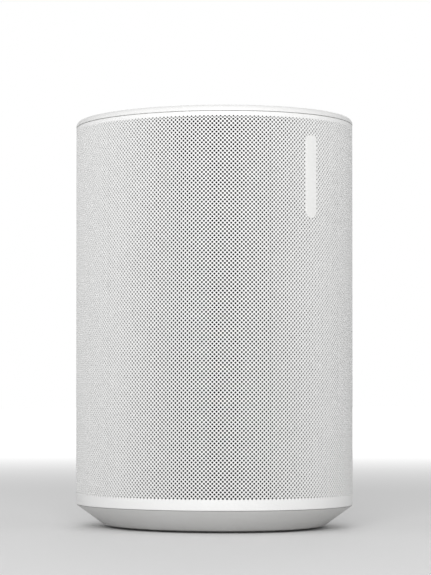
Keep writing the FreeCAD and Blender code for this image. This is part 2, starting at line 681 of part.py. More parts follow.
def make_boards():
    for board in ("main_board", "power_board"):
        plate = block(f"-{board}_width / 2", f"{board}_width / 2", board_face, board_rear,
                      f"{board}_bottom", f"{board}_top")
        bores = [level("screw_radius + slip_fit", x, z, f"{board_face} - 1", f"{board_rear} + 1")
                 for x, z in board_screw_places if board in x]
        sub_part(board, cut(plate, *bores))
    screws = [fuse(level("screw_head", x, z, board_rear, f"{board_rear} + screw_head_height"),
                   level("screw_radius - 0.4", x, z, "box_back", board_rear)) for x, z in board_screw_places]
    screws += [fuse(level("screw_radius + 0.3", x, z, f"{board_near} - 1.2", board_near),
                    level("screw_radius - 0.6", x, z, board_near, f"{board_out} + peg_screw_bite"))
               for x, z in port_screw_places]
    sub_part("board_screws", group(screws))
    cans = [on_board("main_board", *place) for place in (large_can, small_can)]
    sub_part("shield_cans", group(cans))
    left, right, bottom, top, height = heat_sink_place
    fins = [block(f"{left} + {step} * fin_pitch", f"{left} + {step} * fin_pitch + fin_width",
                  f"{board_rear} + sink_plate - 0.5", f"{board_rear} + sink_height",
                  f"main_board_bottom + {bottom}", f"main_board_bottom + {top}") for step in range(fin_count)]
    sub_part("heat_sink", fuse(on_board("main_board", *heat_sink_place), *fins))
    left, right, bottom, top, height = transformer_place
    flanges = [on_board("power_board", f"{left} - 1", f"{right} + 1", *ends, "coil_height - coil_flange")
               for ends in ((f"{bottom} - coil_flange", bottom), (top, f"{top} + coil_flange"))]
    sub_part("power_transformer", fuse(on_board("power_board", *transformer_place), *flanges))
    cans = [level("capacitor_radius", x, f"power_board_bottom + {height}", board_rear,
                  f"{board_rear} + capacitor_height") for x, height in capacitor_places]
    sub_part("power_capacitors", group(cans))
    x, height = choke_place
    sub_part("mains_filter_choke", ring("choke_radius", "choke_bore", x, f"power_board_bottom + {height}",
                                        board_rear, f"{board_rear} + choke_radius"))
    antennas = [block(f"{side}antenna_across - antenna_width / 2", f"{side}antenna_across + antenna_width / 2",
                      "box_back", "box_back + antenna_thickness", "box_top - antenna_drop",
                      "box_top - antenna_drop + antenna_length") for side in ("-", "")]
    sub_part("antennas", group(antennas))


inlet_face = f"({rear_face} - pocket_depth)"
flange_rear = f"({rear_face} - flange_behind)"


def make_rear_panel():
    insert = common(tall_pill("panel_width / 2", "panel_bottom", "panel_top", "0", far_back),
                    oval_ring("0", f"{inner_face} + panel_lip_wall", "panel_bottom", "panel_top"))
    lip = common(tall_pill("panel_width / 2 + panel_lip", "panel_bottom - panel_lip", "panel_top + panel_lip",
                           "0", far_back),
                 oval_ring(inner_face, "panel_lip_wall", "panel_bottom - panel_lip", "panel_top + panel_lip"))
    low, high = "(inlet_middle - pocket_height / 2)", "(inlet_middle + pocket_height / 2)"
    pocket_outside = block("-pocket_width / 2 - pocket_wall", "pocket_width / 2 + pocket_wall",
                           f"{inlet_face} - pocket_wall", f"{panel_inside} - 0.3", f"{low} - pocket_wall",
                           f"{high} + pocket_wall")
    pocket = block("-pocket_width / 2", "pocket_width / 2", inlet_face, far_back, low, high)
    pegs = [level("peg_radius", x, z, board_out, f"{panel_inside} + 0.3") for x, z in port_screw_places]
    peg_bores = [level("screw_radius - 0.6", x, z, board_near, f"{board_out} + 4") for x, z in port_screw_places]
    inlet_hole = wide_pill("inlet_width + 2 * inlet_wall", "inlet_height + 2 * inlet_wall", "inlet_middle",
                           f"{inlet_face} - pocket_wall - 1", f"{inlet_face} + 1")
    button_hole = level("button_radius + easy_fit", "0", "button_middle", f"{panel_inside} - 2", far_back)
    slot_reach = "((slider_length + slider_travel) / 2 + easy_fit)"
    slot_rise = "(slider_height / 2 + easy_fit)"
    slot = block(f"-{slot_reach}", slot_reach, f"{panel_inside} - 2", far_back,
                 f"slider_middle - {slot_rise}", f"slider_middle + {slot_rise}")
    usb_hole = wide_pill("usb_width + 2 * slip_fit", "usb_height + 2 * slip_fit", "usb_middle",
                         f"{panel_inside} - 2", far_back)
    body = fuse(insert, lip, pocket_outside, *pegs)
    sub_part("rear_panel", cut(body, pocket, inlet_hole, button_hole, slot, usb_hole, *peg_bores))

    back = f"({inlet_face} - inlet_depth)"
    housing = wide_pill("inlet_width + 2 * inlet_wall", "inlet_height + 2 * inlet_wall", "inlet_middle",
                        f"{back} - inlet_wall", inlet_face)
    cavity = wide_pill("inlet_width", "inlet_height", "inlet_middle", back, f"{inlet_face} + 1")
    pins = [(f"{side}pin_pitch / 2", "inlet_middle") for side in ("-", "")]
    pin_holes = [level("pin_radius", x, z, f"{back} - inlet_wall - 1", f"{back} + 1") for x, z in pins]
    sub_part("mains_inlet", cut(housing, cavity, *pin_holes))
    sub_part("mains_inlet_pins", group([level("pin_radius", x, z, board_rear, f"{inlet_face} - 1")
                                        for x, z in pins]))


def make_controls():
    board = block("-port_board_width / 2", "port_board_width / 2", board_near, board_out, "port_board_bottom",
                  "port_board_top")
    bores = [level("screw_radius - 0.4", x, z, f"{board_near} - 1", f"{board_out} + 1")
             for x, z in port_screw_places]
    sub_part("port_board", cut(board, *bores))
    button = fuse(level("button_radius", "0", "button_middle", f"{flange_rear} - 0.1",
                        f"{rear_face} - button_sink"),
                  level("button_radius + flange_width", "0", "button_middle", f"{flange_rear} - flange_thickness",
                        flange_rear))
    sub_part("pairing_button", button)
    plunger_out = f"({flange_rear} - flange_thickness)"
    switch_top = f"({plunger_out} - button_travel - 0.4)"
    plunger_in = f"({plunger_out} - plunger_length)"
    sub_part("pairing_switch_plunger", level("plunger_radius", "0", "button_middle", plunger_in, plunger_out))
    switch = cut(block("-switch_half", "switch_half", board_out, switch_top, "button_middle - switch_half",
                       "button_middle + switch_half"),
                 level("plunger_radius + easy_fit", "0", "button_middle", f"{plunger_in} - button_travel - 0.2",
                       f"{switch_top} + 1"))
    sub_part("pairing_switch_body", switch)

    start = "(-slider_travel / 2)"
    cap = block(f"{start} - slider_length / 2", f"{start} + slider_length / 2", f"{flange_rear} - 0.1",
                f"{rear_face} - button_sink - 0.2", "slider_middle - slider_height / 2",
                "slider_middle + slider_height / 2")
    lever_out = f"({flange_rear} - flange_thickness - 0.2)"
    plate = block(f"{start} - slider_length / 2 - slider_hidden", f"{start} + slider_length / 2 + slider_hidden",
                  lever_out, f"{flange_rear} - 0.2", "slider_middle - slider_plate_height / 2",
                  "slider_middle + slider_plate_height / 2")
    stem = block(f"{start} - 1.5", f"{start} + 1.5", f"{flange_rear} - 0.3", flange_rear, "slider_middle - 1.2",
                 "slider_middle + 1.2")
    sub_part("mic_slider", fuse(cap, plate, stem))
    lever_in = f"({lever_out} - lever_length)"
    sub_part("mic_switch_lever", block(f"{start} - lever_half", f"{start} + lever_half", lever_in, lever_out,
                                       "slider_middle - lever_half", "slider_middle + lever_half"))
    room_half = "(slider_travel / 2 + lever_half + easy_fit)"
    lever_room = block(f"-{room_half}", room_half, f"{lever_in} - 0.3", f"{lever_out} + 1",
                       "slider_middle - lever_half - easy_fit", "slider_middle + lever_half + easy_fit")
    body = block("-lever_switch_width / 2", "lever_switch_width / 2", board_out, f"{lever_out} - 0.4",
                 "slider_middle - lever_switch_height / 2", "slider_middle + lever_switch_height / 2")
    sub_part("mic_switch_body", cut(body, lever_room))

    mouth = f"({rear_face} - usb_sink)"
    shell = wide_pill("usb_width", "usb_height", "usb_middle", board_out, mouth)
    room = wide_pill("usb_width - 2 * usb_wall", "usb_height - 2 * usb_wall", "usb_middle",
                     f"{mouth} - usb_depth", f"{mouth} + 1")
    tongue = block("-tongue_width / 2", "tongue_width / 2", f"{mouth} - usb_depth", f"{mouth} - 1",
                   "usb_middle - tongue_thickness / 2", "usb_middle + tongue_thickness / 2")
    sub_part("usb_c_socket", group([cut(shell, room), tongue]))


make_shell()
make_top()
make_base()
make_enclosure()
make_woofer()
make_tweeter("left", "-")
make_tweeter("right", "")
make_tweeter_motors()
make_boards()
make_rear_panel()
make_controls()
doc.recompute()

failed = [obj.Name for obj in doc.Objects if "Invalid" in obj.State or "Error" in obj.State]
if failed:
    raise SystemExit("failed: " + ", ".join(failed))
os.makedirs("parts", exist_ok=True)
for obj in sub_parts:
    if obj.Shape.isNull() or not obj.Shape.isValid():
        raise SystemExit("no valid shape: " + obj.Label)
    obj.Shape.exportStep(f"parts/{obj.Label}.step")
    print(f"{obj.Label:26s} {len(obj.Shape.Solids):3d} solids {obj.Shape.Volume:10.1f} mm3")
print(len(sub_parts), "sub-parts")
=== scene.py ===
import json
import math

import bmesh
import bpy
from mathutils import Matrix, Vector
from mathutils.geometry import delaunay_2d_cdt


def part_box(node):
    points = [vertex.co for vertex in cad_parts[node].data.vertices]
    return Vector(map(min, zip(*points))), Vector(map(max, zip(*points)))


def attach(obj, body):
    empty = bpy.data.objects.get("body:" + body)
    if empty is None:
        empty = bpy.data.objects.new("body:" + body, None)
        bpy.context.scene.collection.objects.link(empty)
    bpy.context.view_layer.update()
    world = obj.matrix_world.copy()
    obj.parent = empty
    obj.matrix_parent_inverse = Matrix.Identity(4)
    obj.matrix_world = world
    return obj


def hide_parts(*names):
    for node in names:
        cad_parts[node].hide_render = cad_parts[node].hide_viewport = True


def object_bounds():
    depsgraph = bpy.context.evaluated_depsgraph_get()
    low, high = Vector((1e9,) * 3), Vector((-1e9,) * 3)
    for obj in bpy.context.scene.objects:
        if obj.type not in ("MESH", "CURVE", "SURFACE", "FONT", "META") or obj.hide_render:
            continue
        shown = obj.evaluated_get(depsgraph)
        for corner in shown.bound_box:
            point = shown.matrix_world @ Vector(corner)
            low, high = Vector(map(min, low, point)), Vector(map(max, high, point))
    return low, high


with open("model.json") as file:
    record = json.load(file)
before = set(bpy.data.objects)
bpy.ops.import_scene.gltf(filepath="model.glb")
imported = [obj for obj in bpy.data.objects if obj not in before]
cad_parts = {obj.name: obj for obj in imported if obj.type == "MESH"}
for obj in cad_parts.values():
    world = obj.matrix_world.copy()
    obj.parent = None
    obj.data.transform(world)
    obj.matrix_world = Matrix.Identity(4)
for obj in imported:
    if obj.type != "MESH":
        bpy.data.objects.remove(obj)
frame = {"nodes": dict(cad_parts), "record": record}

cadLow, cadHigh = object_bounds()
mm = 0.001
weld = 2e-6          # corners nearer than this become one
nearest = 1e-7       # the same in a flat filling
scene = bpy.context.scene
bodyOfNode = {node: body for body, nodes in frame["record"]["behaviour"]["bodies"].items() for node in nodes}

# The plan is an oval: half its width along X, half its depth along Y.
halfWidth = (cadHigh.x - cadLow.x) / 2
halfDepth = (cadHigh.y - cadLow.y) / 2
topLevel = cadHigh.z
shellLow, shellHigh = (corner.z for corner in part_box("grille_shell"))
stretch = (halfDepth ** 2 - halfWidth ** 2) / (halfDepth ** 2 + halfWidth ** 2)


def perimeterOf(width, depth, steps=720):
    corners = [Vector((width * math.sin(step * math.tau / steps), depth * math.cos(step * math.tau / steps)))
               for step in range(steps + 1)]
    return sum((b - a).length for a, b in zip(corners, corners[1:]))


girth = perimeterOf(halfWidth, halfDepth)


def onOval(along, height, depth):
    # along runs round the oval from the middle of the front, depth is negative inside the outer face
    turn = along * math.tau / girth
    turn += stretch / 4 * math.sin(2 * turn)
    return Vector(((halfWidth + depth) * math.sin(turn), -(halfDepth + depth) * math.cos(turn), height))


def smoothFaces(mesh, angle):
    mesh.shade_smooth()
    mesh.set_sharp_from_angle(angle=math.radians(angle))


def finishPiece(name, mesh, material, body, nodes=(), smooth=40):
    piece = bpy.data.objects.new(name, mesh)
    scene.collection.objects.link(piece)
    if material is not None:
        mesh.materials.clear()
        mesh.materials.append(material)
    if smooth:
        smoothFaces(mesh, smooth)
    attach(piece, body)
    if nodes:
        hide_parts(*nodes)
    return piece


def meshFrom(name, build, turnOut=True):
    made = bmesh.new()
    build(made)
    bmesh.ops.remove_doubles(made, verts=made.verts, dist=weld)
    if turnOut:
        bmesh.ops.recalc_face_normals(made, faces=made.faces)
    mesh = bpy.data.meshes.new(name)
    made.to_mesh(mesh)
    made.free()
    return mesh


def bridge(made, first, second):
    count = len(first)
    for n in range(count):
        made.faces.new((first[n], first[(n + 1) % count], second[(n + 1) % count], second[n]))


# Shader groups that several finishes share: each gives only values and normals.

def newGroup(name, inputs, outputs, kind="ShaderNodeTree"):
    # an input is given by its first value or by the name of its kind, an output by its kind
    group = bpy.data.node_groups.new(name, kind)
    for title, start in inputs.items():
        socket = start if isinstance(start, str) else {int: "Int", float: "Float"}[type(start)]
        made = group.interface.new_socket(title, in_out="INPUT", socket_type="NodeSocket" + socket)
        if socket != start:
            made.default_value = start
    for title, socket in outputs.items():
        group.interface.new_socket(title, in_out="OUTPUT", socket_type="NodeSocket" + socket)
    start, end = group.nodes.new("NodeGroupInput"), group.nodes.new("NodeGroupOutput")
    return group, start.outputs, end.inputs


def addNode(tree, kind, inputs=None, **settings):
    node = tree.nodes.new(kind)
    for key, setting in settings.items():
        setattr(node, key, setting)
    for key, source in (inputs or {}).items():
        if isinstance(source, bpy.types.NodeSocket):
            tree.links.new(source, node.inputs[key])
        else:
            node.inputs[key].default_value = source
    return node


def calc(tree, operation, first, second=0.0):
    return addNode(tree, "ShaderNodeMath", {0: first, 1: second}, operation=operation).outputs[0]


def sumsIn(tree):
    # plus, minus, times and over for one tree
    return [lambda first, second, way=way: calc(tree, way, first, second)
            for way in ("ADD", "SUBTRACT", "MULTIPLY", "DIVIDE")]


noise = {"fineDetail": 2.0, "broadScale": 38.0, "broadDetail": 3.0, "patchScale": 60.0, "patchDetail": 4.0}


def makeGrainGroup():
    # fine moulded grain over soft large-scale unevenness, as a height and a roughness
    group, given, results = newGroup(
        "mouldedGrain",
        {"Vector": "Vector", "Grain Scale": 2500.0, "Grain": 0.5, "Roughness": 0.5, "Roughness Change": 0.08},
        {"Height": "Float", "Roughness": "Float", "Tone": "Float"})
    plus, minus, times, _ = sumsIn(group)
    fine = addNode(group, "ShaderNodeTexNoise", {"Vector": given["Vector"], "Detail": noise["fineDetail"],
                                                 "Scale": given["Grain Scale"]}).outputs[0]
    broad = addNode(group, "ShaderNodeTexNoise", {"Vector": given["Vector"], "Scale": noise["broadScale"],
                                                  "Detail": noise["broadDetail"]}).outputs[0]
    tone = minus(broad, 0.5)
    rough = plus(given["Roughness"], times(tone, given["Roughness Change"]))
    group.links.new(times(fine, given["Grain"]), results["Height"])
    group.links.new(rough, results["Roughness"])
    group.links.new(tone, results["Tone"])
    return group


def makeLowDarkeningGroup():
    # darker and browner towards the bottom, in soft patches
    group, given, results = newGroup("settledDust", {"Vector": "Vector", "Amount": 0.1, "Reach": 0.03},
                                     {"Mask": "Float"})
    _, minus, times, over = sumsIn(group)
    height = addNode(group, "ShaderNodeSeparateXYZ", {"Vector": given["Vector"]}).outputs["Z"]
    low = addNode(group, "ShaderNodeClamp", {"Value": minus(1.0, over(height, given["Reach"]))}).outputs[0]
    patches = addNode(group, "ShaderNodeTexNoise", {"Vector": given["Vector"], "Scale": noise["patchScale"],
                                                    "Detail": noise["patchDetail"]}).outputs[0]
    group.links.new(times(times(low, patches), given["Amount"]), results["Mask"])
    return group


grainGroup = makeGrainGroup()
lowDarkeningGroup = makeLowDarkeningGroup()


def startMaterial(name):
    material = bpy.data.materials.new(name)
    material.use_nodes = True
    tree = material.node_tree
    shader = tree.nodes["Principled BSDF"]
    place = addNode(tree, "ShaderNodeTexCoord")
    return material, tree, shader, place.outputs["Object"]


def useGroup(tree, group, values):
    return addNode(tree, "ShaderNodeGroup", values, node_tree=group)


def mixColors(tree, factor, first, second):
    mix = addNode(tree, "ShaderNodeMix", {"Factor": factor, "A": first, "B": second}, data_type="RGBA")
    return mix.outputs[2]


def darker(color, share):
    return tuple(channel * share for channel in color) + (1.0,)


def setBump(tree, shader, height, strength, distance):
    bump = addNode(tree, "ShaderNodeBump", {"Height": height, "Strength": strength, "Distance": distance})
    tree.links.new(bump.outputs[0], shader.inputs["Normal"])


surface = {"roughChange": 0.08, "toneMiddle": 0.66, "bumpStrength": 0.35,
           "dustColor": (0.42, 0.40, 0.37, 1.0)}


def moulded(name, color, rough=0.5, grain=0.5, grainScale=2500.0, bump=0.00002, tone=0.05, dust=0.0,
            metallic=0.0, coat=0.0):
    material, tree, shader, place = startMaterial(name)
    grainNode = useGroup(tree, grainGroup, {"Vector": place, "Grain Scale": grainScale, "Grain": grain,
                                            "Roughness": rough, "Roughness Change": surface["roughChange"]})
    lighter = tuple(min(1.0, channel * (1 + tone)) for channel in color) + (1.0,)
    ramp = calc(tree, "ADD", grainNode.outputs["Tone"], surface["toneMiddle"])
    finalColor = mixColors(tree, ramp, darker(color, 1 - 2 * tone), lighter)
    if dust:
        lowDarkNode = useGroup(tree, lowDarkeningGroup, {"Vector": place, "Amount": dust})
        finalColor = mixColors(tree, lowDarkNode.outputs["Mask"], finalColor, surface["dustColor"])
    tree.links.new(finalColor, shader.inputs["Base Color"])
    tree.links.new(grainNode.outputs["Roughness"], shader.inputs["Roughness"])
    setBump(tree, shader, grainNode.outputs["Height"], surface["bumpStrength"], bump)
    shader.inputs["Metallic"].default_value = metallic
    shader.inputs["Coat Weight"].default_value = coat
    return material


finishes = {
    "shellWhite": dict(color=(0.83, 0.83, 0.825), rough=0.55, dust=0.10, tone=0.012),
    "capWhite": dict(color=(0.79, 0.79, 0.785), rough=0.42, grain=0.3, tone=0.010),
    "badgeWhite": dict(color=(0.80, 0.80, 0.79), rough=0.34, grain=0.2, tone=0.010),
    # the base is the same white plastic as the shell; its colour is darkened to grey as painted shade for its
    # slope that faces the floor
    "baseWhite": dict(color=(0.57, 0.57, 0.565), rough=0.58, dust=0.30, tone=0.02),
    "panelWhite": dict(color=(0.80, 0.80, 0.79), rough=0.60, grain=0.9, grainScale=1800.0, tone=0.012),
    "controlWhite": dict(color=(0.82, 0.82, 0.81), rough=0.45, tone=0.012),
    "footRubber": dict(color=(0.34, 0.34, 0.335), rough=0.78, grain=1.0, grainScale=1500.0, dust=0.35),
    "inletBlack": dict(color=(0.018, 0.018, 0.019), rough=0.55, grain=0.9, tone=0.1),
    "platedMetal": dict(color=(0.70, 0.69, 0.66), rough=0.24, grain=0.2, metallic=1.0, tone=0.04),
    "lightClear": dict(color=(0.72, 0.74, 0.75), rough=0.20, grain=0.1, tone=0.02, coat=0.5),
    "foamBlack": dict(color=(0.020, 0.020, 0.021), rough=0.92, grain=2.0, grainScale=900.0, bump=0.0002),
    "frameBlack": dict(color=(0.022, 0.022, 0.023), rough=0.62, grain=1.0, tone=0.1),
    "enclosureBlack": dict(color=(0.016, 0.016, 0.017), rough=0.66, grain=1.6, grainScale=1400.0, tone=0.15),
    "partBlack": dict(color=(0.025, 0.025, 0.026), rough=0.42, grain=0.7, tone=0.1),
    "tinCan": dict(color=(0.66, 0.66, 0.64), rough=0.32, grain=0.5, metallic=1.0, tone=0.05),
    "aluminiumFins": dict(color=(0.60, 0.61, 0.62), rough=0.38, grain=1.2, metallic=1.0, tone=0.05),
    "ribbonAmber": dict(color=(0.42, 0.17, 0.03), rough=0.30, grain=0.3, tone=0.08, coat=0.4),
    "basketGrey": dict(color=(0.035, 0.035, 0.037), rough=0.52, grain=1.5, grainScale=1700.0, tone=0.08),
    "motorSteel": dict(color=(0.52, 0.52, 0.50), rough=0.36, grain=0.8, metallic=1.0, tone=0.06),
    "ferrite": dict(color=(0.045, 0.045, 0.048), rough=0.70, grain=2.0, grainScale=1100.0, tone=0.15),
    "surroundBlack": dict(color=(0.014, 0.014, 0.014), rough=0.48, grain=0.6, tone=0.08),
    "screwSteel": dict(color=(0.09, 0.09, 0.095), rough=0.34, grain=0.6, metallic=1.0, tone=0.08),
}
paints = {name: moulded(name, **values) for name, values in finishes.items()}


# Solder mask over copper tracks: the tracks show as faint raised right-angled lines.
board = {"mask": (0.006, 0.060, 0.028, 1), "track": (0.020, 0.130, 0.060, 1), "trackScale": 260.0,
         "trackWidth": 0.05, "rough": 0.34, "roughChange": 0.1, "bump": 0.4, "bumpHeight": 0.00003}


def boardMaterial():
    material, tree, shader, place = startMaterial("boardGreen")
    grainNode = useGroup(tree, grainGroup, {"Vector": place, "Grain": 0.3, "Roughness": board["rough"],
                                            "Roughness Change": board["roughChange"]})
    tracks = addNode(tree, "ShaderNodeTexBrick", {
        "Vector": place, "Scale": board["trackScale"], "Mortar Size": board["trackWidth"],
        "Color1": (0, 0, 0, 1), "Color2": (0.2, 0.2, 0.2, 1), "Mortar": (1, 1, 1, 1)}).outputs["Color"]
    tree.links.new(mixColors(tree, tracks, board["mask"], board["track"]), shader.inputs["Base Color"])
    tree.links.new(grainNode.outputs["Roughness"], shader.inputs["Roughness"])
    setBump(tree, shader, tracks, board["bump"], board["bumpHeight"])
    return material


# Enamelled wire laid turn on turn; the copper is darkened towards the grooves between turns as painted shade.
wire = {"color": (0.62, 0.24, 0.09), "turnScale": 900.0, "groove": 0.35, "metallic": 0.85, "rough": 0.34,
        "bump": 0.6, "bumpHeight": 0.0001}


def windingMaterial():
    material, tree, shader, place = startMaterial("copperWire")
    turns = addNode(tree, "ShaderNodeTexWave", {"Vector": place, "Scale": wire["turnScale"]},
                    bands_direction="Y").outputs["Fac"]
    copper = mixColors(tree, turns, darker(wire["color"], wire["groove"]), wire["color"] + (1.0,))
    tree.links.new(copper, shader.inputs["Base Color"])
    setBump(tree, shader, turns, wire["bump"], wire["bumpHeight"])
    shader.inputs["Metallic"].default_value = wire["metallic"]
    shader.inputs["Roughness"].default_value = wire["rough"]
    return material


# A plain weave of two crossing thread directions, coarse for the spider and fine for the domes.
cloths = {"spiderCloth": ((0.34, 0.20, 0.06), 500.0), "domeSilk": ((0.035, 0.035, 0.038), 900.0)}
weave = {"shade": 0.5, "rough": 0.85, "sheen": 0.2, "bump": 0.5, "bumpHeight": 0.00008}


def clothMaterial(name, color, threadScale):
    material, tree, shader, place = startMaterial(name)
    across, along = (addNode(tree, "ShaderNodeTexWave", {"Vector": place, "Scale": threadScale},
                             bands_direction=way).outputs["Fac"] for way in "XZ")
    threads = calc(tree, "MAXIMUM", across, along)
    tree.links.new(mixColors(tree, threads, darker(color, weave["shade"]), color + (1.0,)),
                   shader.inputs["Base Color"])
    setBump(tree, shader, threads, weave["bump"], weave["bumpHeight"])
    shader.inputs["Roughness"].default_value = weave["rough"]
    shader.inputs["Sheen Weight"].default_value = weave["sheen"]
    return material


# Pressed fibre with a coating.
cone = {"pit": (0.012, 0.012, 0.013, 1), "fibre": (0.040, 0.040, 0.042, 1), "fibreScale": 700.0,
        "detail": 6.0, "tangle": 2.5, "rough": 0.5, "roughChange": 0.25, "bump": 0.5, "bumpHeight": 0.0001}


def coneMaterial():
    material, tree, shader, place = startMaterial("coneBlack")
    fibres = addNode(tree, "ShaderNodeTexNoise", {
        "Vector": place, "Scale": cone["fibreScale"], "Detail": cone["detail"],
        "Distortion": cone["tangle"]}).outputs[0]
    rough = calc(tree, "ADD", calc(tree, "MULTIPLY", fibres, cone["roughChange"]), cone["rough"])
    tree.links.new(mixColors(tree, fibres, cone["pit"], cone["fibre"]), shader.inputs["Base Color"])
    tree.links.new(rough, shader.inputs["Roughness"])
    setBump(tree, shader, fibres, cone["bump"], cone["bumpHeight"])
    return material


paints["boardGreen"] = boardMaterial()
paints["copperWire"] = windingMaterial()
paints.update({name: clothMaterial(name, *values) for name, values in cloths.items()})
paints["coneBlack"] = coneMaterial()
print("finishes made")


def paintOf(slot):
    words = slot.split("_")
    return paints[words[0] + "".join(word.capitalize() for word in words[1:])]


slotOfNode = {part["node"]: part["material_slot"] for part in frame["record"]["subparts"]}
for nodeName, nodeObject in frame["nodes"].items():
    nodeObject.data.materials.clear()
    nodeObject.data.materials.append(paintOf(slotOfNode[nodeName]))


def addPiece(name, build, slot, nodes=(), smooth=40):
    body = bodyOfNode[nodes[0]] if nodes else "housing"
    finishPiece(name, meshFrom(name, build), paintOf(slot), body, nodes, smooth)


# The perforated shell: a lattice of small round through-holes between two plain bands.
grille = {
    "columns": 220,            # holes round one row
    "sectors": 10,             # the lattice is cut into this many upright pieces
    "rows": 181,
    "lowestHole": 15.5 * mm,
    "highestHole": 177.1 * mm,
    "holeRadius": 0.49 * mm,
    "holeSides": 8,
    "wall": 0.8 * mm,
    "sink": 0.08 * mm,         # the lattice lies this far inside the badge's face
    "bandWall": 2.2 * mm,
    "bandStart": 1.05,         # in rows past the last row of holes
    "bandStep": 2.0,           # in rows, where the band gets its full wall
    "edgeRound": 0.45 * mm,
    "edgeSteps": 4,
}
pitch = girth / grille["columns"]
rise = (grille["highestHole"] - grille["lowestHole"]) / (grille["rows"] - 1)
perSector = grille["columns"] // grille["sectors"]


def holeCell(made):
    # a diamond of shell round one hole
    sides = grille["holeSides"]
    corners = [made.verts.new((pitch / 2, 0, 0)), made.verts.new((0, rise, 0)),
               made.verts.new((-pitch / 2, 0, 0)), made.verts.new((0, -rise, 0))]
    rim = [made.verts.new((grille["holeRadius"] * math.cos(math.tau * n / sides),
                           grille["holeRadius"] * math.sin(math.tau * n / sides), 0)) for n in range(sides)]
    step = sides // 4
    for quarter, corner in enumerate(corners):
        following = corners[(quarter + 1) % 4]
        arc = [rim[(quarter * step + n) % sides] for n in range(step + 1)]
        middle = step // 2
        for n in range(middle):
            made.faces.new((corner, arc[n + 1], arc[n]))
        made.faces.new((corner, following, arc[middle]))
        for n in range(middle, step):
            made.faces.new((following, arc[n + 1], arc[n]))


def makeLatticeTree():
    sizes = {"Cell": "Geometry", "First Column": 0.0, "Columns": perSector, "Rows": grille["rows"],
             "Pitch": pitch, "Rise": rise, "Lowest": grille["lowestHole"], "Wall": grille["wall"],
             "Half Width": halfWidth, "Half Depth": halfDepth, "Girth": girth, "Stretch": stretch,
             "Window Middle": 0.0, "Window Centre": 0.0, "Window Straight": 0.0, "Window Reach": 0.0,
             "Material": "Material"}
    tree, given, results = newGroup("holeLattice", sizes, {"Geometry": "Geometry"}, "GeometryNodeTree")
    tree.is_modifier = True
    plus, minus, times, over = sumsIn(tree)

    def grow(kind, inputs=None, output=0, **settings):
        return addNode(tree, "GeometryNode" + kind, inputs, **settings).outputs[output]

    def vector(x, y, z):
        return addNode(tree, "ShaderNodeCombineXYZ", {"X": x, "Y": y, "Z": z}).outputs[0]

    # the middles of the diamonds, in staggered rows on a flat sheet
    index = grow("InputIndex")
    column = calc(tree, "MODULO", index, given["Columns"])
    row = calc(tree, "FLOOR", over(plus(index, 0.5), given["Columns"]))
    shift = times(calc(tree, "MODULO", row, 2.0), 0.5)
    along = times(plus(plus(column, shift), given["First Column"]), given["Pitch"])
    height = plus(times(row, given["Rise"]), given["Lowest"])
    points = grow("Points", {"Count": times(given["Columns"], given["Rows"]),
                             "Position": vector(along, height, times(given["Wall"], -1.0))})

    # those inside the pill-shaped window are left out
    aside = calc(tree, "ABSOLUTE", minus(along, given["Window Middle"]))
    upward = calc(tree, "ABSOLUTE", minus(height, given["Window Centre"]))
    beyond = calc(tree, "MAXIMUM", minus(upward, given["Window Straight"]), 0.0)
    apart = calc(tree, "SQRT", plus(times(aside, aside), times(beyond, beyond)))
    within = calc(tree, "LESS_THAN", apart, given["Window Reach"])
    kept = grow("DeleteGeometry", {"Geometry": points, "Selection": within}, domain="POINT")

    # a diamond on each, joined to one sheet and given its wall
    placed = grow("InstanceOnPoints", {"Points": kept, "Instance": given["Cell"]})
    sheet = grow("RealizeInstances", {"Geometry": placed})
    joined = grow("MergeByDistance", {"Geometry": sheet, "Distance": weld})
    smooth = grow("SetShadeSmooth", {"Geometry": joined, "Shade Smooth": True})
    thick = addNode(tree, "GeometryNodeExtrudeMesh", {"Mesh": smooth, "Offset": vector(0.0, 0.0, 1.0),
                                                      "Offset Scale": given["Wall"], "Individual": False},
                    mode="FACES").outputs
    crisp = grow("SetShadeSmooth", {"Geometry": thick["Mesh"], "Selection": thick["Side"],
                                    "Shade Smooth": False})
    both = addNode(tree, "GeometryNodeJoinGeometry")
    tree.links.new(grow("FlipFaces", {"Mesh": smooth}), both.inputs[0])
    tree.links.new(crisp, both.inputs[0])
    closed = grow("MergeByDistance", {"Geometry": both.outputs[0], "Distance": weld})

    # the sheet is wrapped round the oval
    split = addNode(tree, "ShaderNodeSeparateXYZ", {"Vector": grow("InputPosition")}).outputs
    turn = over(times(split["X"], math.tau), given["Girth"])
    wave = calc(tree, "SINE", times(turn, 2.0))
    turn = plus(turn, times(wave, over(given["Stretch"], 4.0)))
    across = times(calc(tree, "SINE", turn), plus(given["Half Width"], split["Z"]))
    away = times(calc(tree, "COSINE", turn), plus(given["Half Depth"], split["Z"]))
    wrapped = vector(across, times(away, -1.0), split["Y"])
    curved = grow("SetPosition", {"Geometry": closed, "Position": wrapped})
    real = grow("RealizeInstances", {"Geometry": curved})
    tree.links.new(grow("SetMaterial", {"Geometry": real, "Material": given["Material"]}), results[0])
    return tree


def growMesh(name, cell, tree, values):
    # runs a tree on a small mesh and gives back the result as a plain mesh
    holder = bpy.data.objects.new(name + "Holder", cell)
    scene.collection.objects.link(holder)
    modifier = holder.modifiers.new("grow", "NODES")
    modifier.node_group = tree
    for item in tree.interface.items_tree:
        if item.item_type == "SOCKET" and item.in_out == "INPUT" and item.name in values:
            modifier[item.identifier] = values[item.name]
    bpy.context.view_layer.update()
    grown = bpy.data.meshes.new_from_object(holder.evaluated_get(bpy.context.evaluated_depsgraph_get()))
    holder.modifiers.remove(modifier)
    bpy.data.objects.remove(holder)
    grown.name = name
    return grown


# The shell's window at the back, round which the lattice leaves a plain margin.
window = {"margin": 1.5 * mm, "gap": 0.2 * mm, "edgeRound": 0.3 * mm, "edgeSteps": 3, "halfWidth": 15.0 * mm,
          "hiddenLip": 4.0 * mm, "clearOfPill": 0.9 * mm}
panelLow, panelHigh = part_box("rear_panel")
panelBottom, panelTop = panelLow.z + window["hiddenLip"], panelHigh.z - window["hiddenLip"]
backMiddle = girth / 2


